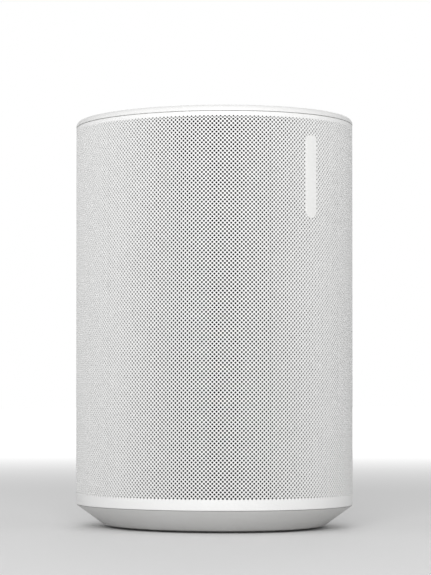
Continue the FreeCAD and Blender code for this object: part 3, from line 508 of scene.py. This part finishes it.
def acrossAt(x):
    # the distance round the oval from the middle of the back to a point at x
    turn = math.asin(x / halfWidth)
    return girth / math.tau * (turn + stretch / 4 * math.sin(2 * turn))


panelReach = acrossAt(window["halfWidth"])
panelCentre, panelRise = (panelBottom + panelTop) / 2, (panelTop - panelBottom) / 2
windowReach = panelReach + window["gap"] + window["margin"]


def windowCells():
    cells = set()
    middle = grille["columns"] // 2
    for row in range(grille["rows"]):
        height = grille["lowestHole"] + row * rise
        beyond = max(abs(height - panelCentre) - (panelRise - panelReach), 0.0)
        for column in range(middle - perSector // 2, middle + perSector // 2):
            aside = (column + row % 2 / 2) * pitch - backMiddle
            if math.hypot(aside, beyond) < windowReach:
                cells.add((column * 2 + row % 2, row))
    return cells


def latticePieces():
    tree = makeLatticeTree()
    cell = meshFrom("holeCell", holeCell, turnOut=False)
    for sector in range(grille["sectors"]):
        first = sector * perSector - perSector // 2
        values = {"First Column": float(first), "Material": paints["shellWhite"],
                  "Half Width": halfWidth - grille["sink"], "Half Depth": halfDepth - grille["sink"]}
        if sector == grille["sectors"] // 2:
            values.update({"Window Middle": backMiddle, "Window Centre": panelCentre,
                           "Window Straight": panelRise - panelReach, "Window Reach": windowReach})
        grown = growMesh(f"shellSector{sector}", cell, tree, values)
        piece = finishPiece(f"shell_sector_{sector}", grown, None, "housing", ["grille_shell"],
                            smooth=None)
        print(piece.name, "has", len(grown.polygons), "faces")


def ovalRow(made, inset, height, count):
    return [made.verts.new(onOval(n * girth / count, height, -inset)) for n in range(count)]


def ovalRing(made, profileAt, columns):
    # a closed ring round the oval: profileAt(column) gives the section as (inset, height) corners
    rings = []
    for column in range(columns):
        along = column * girth / columns
        rings.append([made.verts.new(onOval(along, height, -inset)) for inset, height in profileAt(column)])
    for column in range(columns):
        bridge(made, rings[column], rings[(column + 1) % columns])


def arcPoints(radius, fromAngle, toAngle, steps):
    for n in range(steps + 1):
        angle = math.radians(fromAngle + (toAngle - fromAngle) * n / steps)
        yield radius * math.cos(angle), radius * math.sin(angle)


def bandPieces():
    outer, inner = grille["sink"], grille["sink"] + grille["wall"]
    deep, soft = grille["sink"] + grille["bandWall"], grille["edgeRound"]
    topValley, lowValley = grille["highestHole"], grille["lowestHole"]
    start, step = grille["bandStart"] * rise, grille["bandStep"] * rise
    steps = grille["edgeSteps"]

    def topProfile(column):
        # the last row's diamonds point up, so the band's lower edge is a zigzag
        isPeak = (column + grille["rows"]) % 2 == 0
        edge = topValley + rise if isPeak else topValley
        corners = [(outer, edge), (outer, topValley + start)]
        corners += [(outer + soft - x, shellHigh - soft + y) for x, y in arcPoints(soft, 0, 90, steps)]
        return corners + [(deep, shellHigh), (deep, topValley + step), (inner, topValley + step),
                          (inner, topValley + start), (inner, edge)]

    def lowProfile(column):
        isPeak = column % 2 == 1
        edge = lowValley - rise if not isPeak else lowValley
        corners = [(inner, edge), (inner, lowValley - start), (inner, lowValley - step),
                   (deep, lowValley - step), (deep, shellLow)]
        corners += [(outer + soft - x, shellLow + soft + y) for x, y in arcPoints(soft, -90, 0, steps)]
        return corners + [(outer, lowValley - start), (outer, edge)]

    columns = 2 * grille["columns"]
    for name, profile in (("shell_upper_band", topProfile), ("shell_lower_band", lowProfile)):
        addPiece(name, lambda made, shape=profile: ovalRing(made, shape, columns), "shell_white",
                 ["grille_shell"], smooth=35)


latticePieces()
bandPieces()
print("perforated shell made")


# The top cap: a flat oval plate with a rounded rim, a scooped volume trough, microphone holes and a light.
cap = {
    "rimRound": 2.3 * mm, "rimSteps": 9, "skirt": 5.0 * mm, "skirtWall": 1.8 * mm, "skirtInset": 2.4 * mm,
    "plate": 2.6 * mm, "troughLength": 46.0 * mm, "troughWidth": 12.0 * mm, "troughDepth": 1.4 * mm,
    "troughLip": 1.1 * mm, "micHole": 0.5 * mm, "micAcross": 34.0 * mm, "micAlong": 42.0 * mm,
    "lightHole": 0.95 * mm, "lightForward": 52.0 * mm, "points": 220, "skirtEdge": 0.4 * mm,
    "micSides": 16, "lightSides": 24, "troughCorner": 14, "scoopSteps": 8,
}
pit = [(0.4 * mm, 0.0), (0.18 * mm, 0.0), (0.05 * mm, -0.05 * mm), (0.0, -0.18 * mm), (0.0, -cap["plate"])]


def roundedBox(middle, reach, tall, corner, grow, perCorner):
    # an outline of straight sides and round corners, moved outwards by grow
    points = []
    for quarter, (sx, sy) in enumerate(((1, 1), (-1, 1), (-1, -1), (1, -1))):
        centre = (middle[0] + sx * (reach - corner), middle[1] + sy * (tall - corner))
        for n in range(perCorner + 1):
            angle = math.radians(90 * (quarter + n / perCorner))
            points.append((centre[0] + (corner + grow) * math.cos(angle),
                           centre[1] + (corner + grow) * math.sin(angle)))
    return points


def disc(middle, radius, sides=24):
    return lambda grow: [(middle[0] + (radius + grow) * math.cos(math.tau * n / sides),
                          middle[1] + (radius + grow) * math.sin(math.tau * n / sides)) for n in range(sides)]


def box(middle, reach, tall, corner, perCorner=8):
    return lambda grow: roundedBox(middle, reach, tall, corner, grow, perCorner)


def fillBetween(made, outer, place, depth, upward, holes=(), spare=()):
    # fills the flat area inside outer and outside the holes; outer and holes are (outline, vertices) pairs
    flat, verts, edges = [], [], []
    for outline, ring in [outer, *holes]:
        start = len(flat)
        flat += [Vector(point) for point in outline]
        verts += ring
        edges += [(start + n, start + (n + 1) % len(outline)) for n in range(len(outline))]
    known = len(flat)
    flat += [Vector(point) for point in spare]
    points, _, faces, origins, _, _ = delaunay_2d_cdt(flat, edges, [], 0, nearest)
    found = {}
    for n, sources in enumerate(origins):
        mine = [source for source in sources if source < known]
        found[n] = verts[mine[0]] if mine else None
    for face in faces:
        centre = sum((points[n] for n in face), Vector((0, 0))) / len(face)
        if not inside(centre, outer[0]) or any(inside(centre, hole[0]) for hole in holes):
            continue
        for n in face:
            if found[n] is None:
                found[n] = made.verts.new(place(points[n].x, points[n].y, depth))
        corners = [found[n] for n in face]
        if len(set(corners)) == 3:
            made.faces.new(corners if upward else corners[::-1])


def inside(point, outline):
    hit = False
    for (x0, y0), (x1, y1) in zip(outline, outline[1:] + outline[:1]):
        if (y0 > point[1]) != (y1 > point[1]) and point[0] < (x1 - x0) * (point[1] - y0) / (y1 - y0) + x0:
            hit = not hit
    return hit


def ringAt(made, place, outline, depth):
    return outline, [made.verts.new(place(x, y, depth)) for x, y in outline]


def chain(made, place, shape, profile):
    # rings that follow a section from the top face down; gives the first and the last ring
    rings = [ringAt(made, place, shape(grow), depth) for grow, depth in profile]
    for (_, first), (_, second) in zip(rings, rings[1:]):
        bridge(made, first, second)
    return rings[0], rings[-1]


rimFlat = {"share": 1.25, "extra": 0.1 * mm}     # how far the flat beside a rounded rim keeps its own ring


def rounding(radius, steps):
    # the section of a rounded rim: a narrow flat, then the curve over the edge
    curve = [(radius * (math.sin(angle) - 1), -radius * (1 - math.cos(angle)))
             for angle in (math.pi / 2 * n / steps for n in range(steps + 1))]
    return [(-rimFlat["share"] * radius - rimFlat["extra"], 0.0)] + curve


def plate(made, place, outer, outerProfile, through, blind, spare):
    # a closed plate: through and blind are lists of (shape, profile) holes, a blind one is floored
    top, bottom = chain(made, place, outer, outerProfile)
    tops, bottoms = [], []
    for shape, profile in through:
        first, last = chain(made, place, shape, profile)
        tops.append(first)
        bottoms.append(last)
    for shape, profile in blind:
        first, last = chain(made, place, shape, profile)
        tops.append(first)
        fillBetween(made, last, place, profile[-1][1], True)
    fillBetween(made, top, place, outerProfile[0][1], True, tops, spare)
    fillBetween(made, bottom, place, outerProfile[-1][1], False, bottoms, spare)


def flatBlock(made, place, shape, profile):
    # a closed block with flat faces, from the profile's first depth to its last
    top, bottom = chain(made, place, shape, profile)
    fillBetween(made, top, place, profile[0][1], True)
    fillBetween(made, bottom, place, profile[-1][1], False)


def ovalShape(count):
    def outline(grow):
        found = [onOval(n * girth / count, 0, grow) for n in range(count)]
        return [(point.x, point.y) for point in found]
    return outline


def atLevel(level):
    def place(x, y, depth):
        return Vector((x, y, level + depth))
    return place


def buildCap(made):
    rim = rounding(cap["rimRound"], cap["rimSteps"]) + [(0.0, -cap["plate"])]
    trough = box((0, 0), cap["troughLength"] / 2, cap["troughWidth"] / 2, cap["troughWidth"] / 2,
                 cap["troughCorner"])
    lip, depth, steps = cap["troughLip"], cap["troughDepth"], cap["scoopSteps"]
    scoop = [(lip * (0.5 - n / steps), -depth * (1 - math.cos(math.pi * n / steps)) / 2)
             for n in range(steps + 1)]
    scoop = [(lip, 0.0), *scoop, (-lip, -depth)]
    places = [(sx * cap["micAcross"], sy * cap["micAlong"]) for sx in (-1, 1) for sy in (-1, 1)]
    through = [(disc(spot, cap["micHole"], cap["micSides"]), pit) for spot in places]
    through.append((disc((0, -cap["lightForward"]), cap["lightHole"], cap["lightSides"]), pit))
    plate(made, atLevel(topLevel), ovalShape(cap["points"]), rim, through, [(trough, scoop)], [])
    skirtTop = topLevel - cap["plate"]
    skirtEnd, edge = skirtTop - cap["skirt"], cap["skirtEdge"]
    outer, inner = cap["skirtInset"], cap["skirtInset"] + cap["skirtWall"]
    profile = [(outer, skirtTop), (outer, skirtEnd + edge), (outer + edge, skirtEnd), (inner, skirtEnd),
               (inner, skirtTop)]
    ovalRing(made, lambda column: profile, cap["points"])


addPiece("top_cap_shell", buildCap, "cap_white", ["top_cap"], smooth=35)


# Two small raised dots mark the ends of the trough.
dots = {"height": 0.06 * mm, "radius": 0.55 * mm, "spread": 17.0 * mm, "sunk": 0.02 * mm, "edge": 0.08 * mm,
        "sides": 20}


def buildDots(made):
    flat = atLevel(topLevel - cap["troughDepth"])
    profile = [(0.0, -dots["sunk"]), (0.0, dots["height"] / 2), (-dots["edge"], dots["height"])]
    for side in (-1, 1):
        dot = disc((side * dots["spread"], 0.0), dots["radius"], dots["sides"])
        low, high = chain(made, flat, dot, profile)
        fillBetween(made, high, flat, dots["height"], True)
        fillBetween(made, low, flat, -dots["sunk"], False)


addPiece("trough_dots", buildDots, "badge_white", smooth=30)


# The status light's clear guide, domed a little below the cap's face.
guide = {"dome": 0.2 * mm, "steps": 6, "sides": 28}


def buildGuide(made):
    low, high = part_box("status_light_pipe")
    middle = (low + high) / 2
    radius = (high.x - low.x) / 2
    angles = [math.pi / 2 * n / guide["steps"] for n in range(1, guide["steps"] + 1)]
    profile = [(-radius * (1 - math.sin(angle)), -guide["dome"] * (1 - math.cos(angle))) for angle in angles]
    profile.append((0.0, low.z - high.z))
    flatBlock(made, atLevel(high.z), disc((middle.x, middle.y), radius, guide["sides"]), profile)


addPiece("status_light", buildGuide, "light_clear", ["status_light_pipe"], smooth=50)


# The tapered base, with its rounded lower edge, the groove for the foot and the collar inside the shell.
base = {
    "inset": 12.8 * mm, "step": 0.4 * mm, "lift": 1.0 * mm, "wall": 2.6 * mm, "floor": 2.6 * mm,
    "collar": 6.0 * mm, "collarInset": 2.4 * mm, "edgeRound": 1.5 * mm, "footInset": 19.0 * mm,
    "footWidth": 6.0 * mm, "grooveGap": 0.1 * mm, "grooveDepth": 0.8 * mm, "points": 300,
    "seam": ((0.0, 0.15 * mm), (0.12 * mm, 0.42 * mm)),      # inset and drop of the two rings under the shell
    "roundSteps": 6, "underSteps": (0.75, 0.5, 0.25), "collarDrop": 0.05 * mm,
    "footRound": 0.5 * mm, "footSteps": 4,
}


def taperedProfile():
    # the slope from the shell down to the underside, with both its ends rounded
    slope = Vector((base["inset"] - base["step"], base["lift"] - shellLow))
    along = slope.normalized()
    low = Vector((base["inset"], base["lift"]))
    cut = base["edgeRound"]
    start, finish = low - along * cut, low + Vector((cut, 0))
    corners = [(base["step"] + inset, shellLow - drop) for inset, drop in base["seam"]]
    for n in range(base["roundSteps"] + 1):
        share = n / base["roundSteps"]
        point = start.lerp(low, share).lerp(low.lerp(finish, share), share)
        corners.append((point.x, point.y))
    return corners


def buildBase(made):
    lift, grooveTop = base["lift"], base["lift"] + base["grooveDepth"]
    grooveOuter = base["footInset"] - base["grooveGap"]
    grooveInner = base["footInset"] + base["footWidth"] + base["grooveGap"]
    groove = [(grooveOuter, lift), (grooveOuter, grooveTop), (grooveInner, grooveTop), (grooveInner, lift)]
    floorTop = base["lift"] + base["floor"]
    collarTop = shellLow + base["collar"]
    outer = [(base["collarInset"], collarTop), (base["collarInset"], shellLow - base["collarDrop"])]
    inner = [(base["collarInset"] + base["wall"], shellLow), (base["collarInset"] + base["wall"], collarTop)]
    count = base["points"]
    section = outer + taperedProfile() + groove
    rings = [ovalRow(made, inset, height, count) for inset, height in section]
    under = [rings[-1]]
    for share in base["underSteps"]:
        under.append([made.verts.new((vert.co.x * share, vert.co.y * share, lift)) for vert in rings[-1]])
    centre = made.verts.new((0, 0, lift))
    for first, second in zip(rings + under[1:], rings[1:] + under[1:]):
        if first is not second:
            bridge(made, first, second)
    last = under[-1]
    for n in range(count):
        made.faces.new((last[n], last[(n + 1) % count], centre))
    hollow = [ovalRow(made, inset, height, count)
              for inset, height in inner[::-1] + [(base["inset"] + base["wall"], floorTop)]]
    bridge(made, hollow[0], rings[0])
    for first, second in zip(hollow, hollow[1:]):
        bridge(made, second, first)
    top = made.verts.new((0, 0, floorTop))
    last = hollow[-1]
    for n in range(count):
        made.faces.new((last[(n + 1) % count], last[n], top))


addPiece("base_tray", buildBase, "base_white", ["base_housing"], smooth=32)


def buildFoot(made):
    outer, width, steps = base["footInset"], base["footWidth"], base["footSteps"]
    high, soft = base["lift"] + base["grooveDepth"], base["footRound"]
    profile = [(outer, high)] + [(outer + soft - x, soft + y) for x, y in arcPoints(soft, 0, -90, steps)]
    profile += [(outer + width - soft + x, soft + y) for x, y in arcPoints(soft, -90, 0, steps)]
    profile += [(outer + width, high)]
    ovalRing(made, lambda column: profile, base["points"])


addPiece("foot_pad", buildFoot, "foot_rubber", ["foot_ring"])


# The badge: a plain slim plate with a rounded edge, following the front of the oval.
badge = {"edge": 0.12 * mm, "edgeSteps": 3, "under": 0.4 * mm, "perCorner": 14, "gridAlong": 1.2 * mm,
         "gridUp": 6.0 * mm}


def gridInside(outline, stepAlong, stepUp, keepOff):
    # spare points inside an outline, so that a wide face follows the oval
    left, low = (min(values) for values in zip(*outline))
    wide, tall = (max(values) - min(values) for values in zip(*outline))
    columns, rows = max(1, round(wide / stepAlong)), max(1, round(tall / stepUp))
    spots = [(left + wide * column / columns, low + tall * row / rows)
             for column in range(1, columns) for row in range(1, rows)]
    return [spot for spot in spots
            if inside(spot, outline) and not any(inside(spot, hole) for hole in keepOff)]


def buildBadge(made):
    low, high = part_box("badge_plate")
    reach, tall = (high.x - low.x) / 2, (high.z - low.z) / 2
    shape = box((0, (low.z + high.z) / 2), reach, tall, reach, badge["perCorner"])
    profile = rounding(badge["edge"], badge["edgeSteps"]) + [(0.0, -badge["under"])]
    spare = gridInside(shape(-2 * badge["edge"]), badge["gridAlong"], badge["gridUp"], [])
    plate(made, onOval, shape, profile, [], [], spare)


addPiece("front_badge", buildBadge, "badge_white", ["badge_plate"])
print("cap, base, foot and badge made")


# The rear panel: a pill-shaped insert with a plug pocket, a button, a slider slot and a port.
panel = {
    "edge": 0.5 * mm, "edgeSteps": 4, "sink": 0.08 * mm, "lipWall": 1.6 * mm, "lipGap": 2.4 * mm,
    "pillCorner": 20, "holeEdge": 0.25 * mm, "holeSteps": 3, "pocketDepth": 8.0 * mm, "pocketWall": 1.4 * mm,
    "pocketEdge": 0.8 * mm, "cupTaper": 0.15 * mm, "cupRound": 0.6 * mm, "inletGap": 0.05 * mm,
    "inletCorner": 10,
    "buttonRadius": 4.5 * mm, "buttonGap": 0.3 * mm, "buttonSides": 48,
    "gridGap": 1.2 * mm, "gridAlong": 1.5 * mm, "gridUp": 4.0 * mm,
}
openings = {          # half width, half height, corner radius and steps in each corner
    "slot": (4.2 * mm, 1.8 * mm, 1.75 * mm, 8),
    "port": (4.67 * mm, 1.83 * mm, 1.8 * mm, 10),
    "pocket": (11.0 * mm, 7.5 * mm, 3.0 * mm, 8),
}
buttonLow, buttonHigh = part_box("pairing_button")
sliderLow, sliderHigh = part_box("mic_slider")
usbLow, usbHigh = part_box("usb_c_socket")
inletLow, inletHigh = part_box("mains_inlet")
buttonMiddle = (buttonLow.z + buttonHigh.z) / 2
sliderMiddle = (sliderLow.z + sliderHigh.z) / 2
usbMiddle = (usbLow.z + usbHigh.z) / 2
inletMiddle = (inletLow.z + inletHigh.z) / 2
panelBack = -(panel["lipGap"] + panel["lipWall"])


def onBack(across, height, depth):
    # across runs from the middle of the back; seen from behind, plus is to the left
    return onOval(backMiddle - across, height, depth)


def panelPill():
    return box((0, panelCentre), panelReach, panelRise, panelReach, panel["pillCorner"])


def opening(name, height):
    halfAcross, tall, corner, perCorner = openings[name]
    return box((0, height), acrossAt(halfAcross), tall, corner, perCorner)


def panelShapes():
    button = disc((0, buttonMiddle), panel["buttonRadius"] + panel["buttonGap"], panel["buttonSides"])
    return button, opening("slot", sliderMiddle), opening("port", usbMiddle), opening("pocket", inletMiddle)


def buildPanel(made):
    pill, sunk, gap = panelPill(), -panel["sink"], panel["gridGap"]
    profile = [(grow, depth + sunk) for grow, depth in rounding(panel["edge"], panel["edgeSteps"])]
    holes = []
    for shape, edge in zip(panelShapes(), (panel["holeEdge"],) * 3 + (panel["pocketEdge"],)):
        rim = [(-grow, depth + sunk) for grow, depth in rounding(edge, panel["holeSteps"])]
        holes.append((shape, rim + [(0.0, panelBack)]))
    spare = gridInside(pill(-gap), panel["gridAlong"], panel["gridUp"], [shape(gap) for shape, _ in holes])
    plate(made, onBack, pill, profile + [(0.0, panelBack)], holes, [], spare)


def buildPocket(made):
    # the cup behind the pocket's mouth, open to the outside, with the hole for the inlet in its floor
    cup, wall = panelShapes()[3], panel["pocketWall"]
    straight = openings["pocket"][0]
    reach = acrossAt(straight)
    backY = halfDepth - panel["pocketDepth"]

    def place(across, height, y):
        return Vector((across * straight / reach, y, height))

    taper, gap = panel["cupTaper"], panel["inletGap"]
    curved = [made.verts.new(onBack(x, height, panelBack)) for x, height in cup(0.0)]
    inner = ringAt(made, place, cup(-taper), backY + panel["cupRound"])
    soft = ringAt(made, place, cup(-taper - panel["cupRound"]), backY)
    inletReach, inletTall = (inletHigh.x - inletLow.x) / 2, (inletHigh.z - inletLow.z) / 2
    hole = box((0, inletMiddle), inletReach * reach / straight + gap, inletTall + gap, inletTall,
               panel["inletCorner"])
    front = ringAt(made, place, hole(0.0), backY)
    behind = ringAt(made, place, hole(0.0), backY - wall)
    outside = ringAt(made, place, cup(wall), backY - wall)
    lip = [made.verts.new(onBack(x, height, panelBack)) for x, height in cup(wall)]
    for first, second in ((curved, inner[1]), (inner[1], soft[1]), (front[1], behind[1]), (lip, outside[1]),
                          (curved, lip)):
        bridge(made, first, second)
    fillBetween(made, soft, place, backY, True, [front])
    fillBetween(made, outside, place, backY - wall, False, [behind])


addPiece("rear_panel_face", buildPanel, "panel_white", ["rear_panel"], smooth=35)
addPiece("plug_pocket", buildPocket, "panel_white", ["rear_panel"], smooth=35)


def diamondCorners(column, row):
    return [(column + 1, row), (column, row + 1), (column - 1, row), (column, row - 1)]


def diamondPoint(spot):
    return backMiddle - spot[0] * pitch / 2, grille["lowestHole"] + spot[1] * rise


def rounded(point):
    return round(point[0], 7), round(point[1], 7)


def outlineOf(cells):
    # the zigzag round a patch of the lattice's diamonds: the edges that only one diamond has, end to end
    openEdges = {}
    for column, row in cells:
        ends = diamondCorners(column, row)
        for first, second in zip(ends, ends[1:] + ends[:1]):
            if (second, first) in openEdges:
                del openEdges[(second, first)]
            else:
                openEdges[(first, second)] = True
    following = {first: second for first, second in openEdges}
    loop = [next(iter(following))]
    while len(loop) < len(following):
        loop.append(following[loop[-1]])
    return [diamondPoint(spot) for spot in loop][::-1]


def buildWindowFrame(made):
    # the plain margin between the lattice and the panel: it takes the place of the holes left out there
    cells = windowCells()
    zigzag = outlineOf(cells)
    pill = panelPill()
    outer, deep = -grille["sink"], -grille["sink"] - grille["wall"]
    gap = window["gap"]
    rim = [(gap - grow, depth + outer) for grow, depth in rounding(window["edgeRound"], window["edgeSteps"])]
    rim.append((gap, deep))
    top, bottom = chain(made, onBack, pill, rim)
    frameTop = ringAt(made, onBack, zigzag, outer)
    frameLow = ringAt(made, onBack, zigzag, deep)
    bridge(made, frameTop[1], frameLow[1])
    taken = {rounded(point) for point in zigzag}
    spare = {}
    for column, row in cells:
        for spot in [(column, row), *diamondCorners(column, row)]:
            point = diamondPoint(spot)
            if rounded(point) not in taken and not inside(point, pill(window["clearOfPill"])):
                spare[rounded(point)] = point
    fillBetween(made, frameTop, onBack, outer, True, [top], spare.values())
    fillBetween(made, frameLow, onBack, deep, False, [bottom], spare.values())


# A thin black sheet inside the shell, open where the rear panel passes through it: painted shade, a dark
# sheet that stands in for the shade seen through the holes.
darkSheet = {"inset": 1.2 * mm, "thick": 0.25 * mm, "slit": 0.01 * mm, "step": 4.0 * mm, "stepUp": 20.0 * mm,
          "panelGap": 0.3 * mm, "gridGap": 0.5 * mm, "endRows": 1.9}


def buildShadeSheet(made):
    reach, past = girth / 2 - darkSheet["slit"], darkSheet["endRows"] * rise
    low, high = grille["lowestHole"] - past, grille["highestHole"] + past
    count = round(2 * reach / darkSheet["step"])
    across = [reach * (2 * n / count - 1) for n in range(count + 1)]
    corners = [(x, low) for x in across] + [(x, high) for x in reversed(across)]
    pill = panelPill()
    keepOff = pill(darkSheet["panelGap"] + darkSheet["gridGap"])
    spare = gridInside(corners, darkSheet["step"], darkSheet["stepUp"], [keepOff])
    section = [(0.0, -darkSheet["inset"]), (0.0, -darkSheet["inset"] - darkSheet["thick"])]
    hole = [(darkSheet["panelGap"], depth) for _, depth in section]
    plate(made, onBack, lambda grow: corners, section, [(pill, hole)], [], spare)


addPiece("shell_lining", buildShadeSheet, "foam_black", smooth=35)
addPiece("shell_window_frame", buildWindowFrame, "shell_white", ["grille_shell"], smooth=35)


# The pairing button: a shallow dished cap on a wider hidden flange.
button = {
    "sides": 56, "flange": 0.8 * mm,
    # in the dish a share of the radius and a depth, on the rim an inset and a depth
    "dish": ((0.15, 0.30 * mm), (0.45, 0.26 * mm), (0.70, 0.14 * mm)),
    "rim": ((0.55 * mm, 0.02 * mm), (0.38 * mm, 0.0), (0.14 * mm, 0.07 * mm), (0.0, 0.26 * mm)),
}


def buildButton(made):
    radius, count = panel["buttonRadius"], button["sides"]
    faceY, flangeY, innerY = buttonHigh.y, buttonLow.y + button["flange"], buttonLow.y
    flangeRadius = (buttonHigh.x - buttonLow.x) / 2
    profile = [(share * radius, faceY - depth) for share, depth in button["dish"]]
    profile += [(radius - inset, faceY - depth) for inset, depth in button["rim"]]
    profile += [(radius, flangeY), (flangeRadius, flangeY), (flangeRadius, innerY)]
    rings = [[made.verts.new((r * math.sin(math.tau * n / count), y,
                              buttonMiddle + r * math.cos(math.tau * n / count))) for n in range(count)]
             for r, y in profile]
    for first, second in zip(rings, rings[1:]):
        bridge(made, first, second)
    for ring, y in ((rings[0], profile[0][1]), (rings[-1], innerY)):
        middle = made.verts.new((0, y, buttonMiddle))
        for n in range(count):
            made.faces.new((ring[n], ring[(n + 1) % count], middle))


addPiece("pairing_button_cap", buildButton, "control_white", ["pairing_button"])


# The microphone slider: a small ribbed thumb piece on a wide plate behind the slot.
slider = {
    "length": 4.8 * mm, "height": 3.0 * mm, "corner": 0.9 * mm, "edge": 0.25 * mm, "edgeSteps": 3,
    "plate": 0.8 * mm, "plateCorner": 0.8 * mm, "plateEdge": 0.1 * mm, "thumbCorner": 6, "otherCorner": 4,
    "ribs": 5, "ribPitch": 0.72 * mm, "ribWidth": 0.34 * mm, "ribRise": 0.3 * mm, "ribInset": 0.45 * mm,
    "ribRoot": 0.05 * mm, "ribRound": ((-0.1 * mm, 0.0), (-0.03 * mm, 0.05 * mm), (0.0, 0.14 * mm)),
}


def facingBack(x, z, y):
    return Vector((x, y, z))


def buildSlider(made):
    centre = (sliderLow.x + sliderHigh.x) / 2
    facePlane, plateTop = sliderHigh.y - slider["ribRise"], sliderLow.y + slider["plate"]
    thumb = box((centre, sliderMiddle), slider["length"] / 2, slider["height"] / 2, slider["corner"],
                slider["thumbCorner"])
    profile = [(grow, facePlane + depth) for grow, depth in rounding(slider["edge"], slider["edgeSteps"])]
    flatBlock(made, facingBack, thumb, profile + [(0.0, plateTop)])
    reach, tall = (sliderHigh.x - sliderLow.x) / 2, (sliderHigh.z - sliderLow.z) / 2
    wide = box((centre, sliderMiddle), reach, tall, slider["plateCorner"], slider["otherCorner"])
    edge = slider["plateEdge"]
    flatBlock(made, facingBack, wide, [(-edge, plateTop), (0.0, plateTop - edge), (0.0, sliderLow.y)])
    ribProfile = [(grow, sliderHigh.y - depth) for grow, depth in slider["ribRound"]]
    ribProfile.append((0.0, facePlane - slider["ribRoot"]))
    for rib in range(slider["ribs"]):
        x = centre + (rib - (slider["ribs"] - 1) / 2) * slider["ribPitch"]
        bar = box((x, sliderMiddle), slider["ribWidth"] / 2, slider["height"] / 2 - slider["ribInset"],
                  slider["ribWidth"] / 2, slider["otherCorner"])
        flatBlock(made, facingBack, bar, ribProfile)


addPiece("mic_slider_thumb", buildSlider, "control_white", ["mic_slider"], smooth=35)
print("rear panel and its controls made")


# Floor, lights and camera.
stage = {"floorSize": 12.0, "floorColor": (0.80, 0.80, 0.80, 1.0), "floorRough": 0.8, "ambient": 0.55,
         "backdrop": 1.0, "fadeFrom": 0.35, "fadeTo": 1.8, "fadeLight": 0.75}
view = {"azimuth": -40.0, "distance": 1.0, "height": 0.060, "lens": 138.9, "pitch": 1.1,
        "shift": (0.0032, 0.1101), "sensor": 36.0, "nearest": 0.01}
lights = {
    "key": {"place": (-1.05, -1.05, 0.62), "size": 0.8, "power": 14.2},
    "backLight": {"place": (1.1, 1.2, 0.9), "size": 0.8, "power": 3.0},
}
lightAim = Vector((0, 0, 0.09))


def makeStage():
    mesh = bpy.data.meshes.new("floor")
    half = stage["floorSize"] / 2
    corners = [(-half, -half, 0), (half, -half, 0), (half, half, 0), (-half, half, 0)]
    mesh.from_pydata(corners, [], [(0, 1, 2, 3)])
    floor = bpy.data.objects.new("floor", mesh)
    scene.collection.objects.link(floor)
    material, tree, shader, place = startMaterial("paleFloor")
    shader.inputs["Base Color"].default_value = stage["floorColor"]
    shader.inputs["Roughness"].default_value = stage["floorRough"]
    # the floor glows with painted light, more the further it is from the speaker, so it fades into the
    # backdrop
    away = addNode(tree, "ShaderNodeVectorMath", {0: place}, operation="LENGTH").outputs["Value"]
    fade = addNode(tree, "ShaderNodeMapRange", {"Value": away, "From Min": stage["fadeFrom"],
                                                "From Max": stage["fadeTo"]}, interpolation_type="SMOOTHSTEP")
    glow = calc(tree, "MULTIPLY", fade.outputs["Result"], stage["fadeLight"])
    glowColor = addNode(tree, "ShaderNodeCombineColor", {"Red": glow, "Green": glow, "Blue": glow})
    tree.links.new(glowColor.outputs[0], shader.inputs["Emission Color"])
    shader.inputs["Emission Strength"].default_value = 1.0
    mesh.materials.append(material)
    world = bpy.data.worlds.new("studio")
    world.use_nodes = True
    sky = world.node_tree
    background = sky.nodes["Background"]
    background.inputs["Color"].default_value = (1.0, 1.0, 1.0, 1.0)
    seen = addNode(sky, "ShaderNodeLightPath").outputs["Is Camera Ray"]
    extra = calc(sky, "MULTIPLY", seen, stage["backdrop"] - stage["ambient"])
    sky.links.new(calc(sky, "ADD", extra, stage["ambient"]), background.inputs["Strength"])
    scene.world = world


def makeCamera():
    data = bpy.data.cameras.new("camera")
    camera = bpy.data.objects.new("camera", data)
    scene.collection.objects.link(camera)
    data.sensor_width, data.lens = view["sensor"], view["lens"]
    data.shift_x, data.shift_y = view["shift"]
    data.clip_start = view["nearest"]
    turn = math.radians(view["azimuth"])
    camera.location = (view["distance"] * math.sin(turn), -view["distance"] * math.cos(turn), view["height"])
    aim = Matrix.Rotation(turn, 4, "Z") @ Matrix.Rotation(math.radians(90 + view["pitch"]), 4, "X")
    camera.rotation_euler = aim.to_euler()
    scene.camera = camera


def softLight(name, place, size, power):
    data = bpy.data.lights.new(name, "AREA")
    data.shape = "RECTANGLE"
    data.size = data.size_y = size
    data.energy = power
    light = bpy.data.objects.new(name, data)
    light.location = place
    light.rotation_euler = (lightAim - Vector(place)).to_track_quat("-Z", "Y").to_euler()
    scene.collection.objects.link(light)


scene.view_settings.view_transform = "Standard"
makeStage()
makeCamera()
for name, values in lights.items():
    softLight(name, **values)
print("stage, lights and camera made")
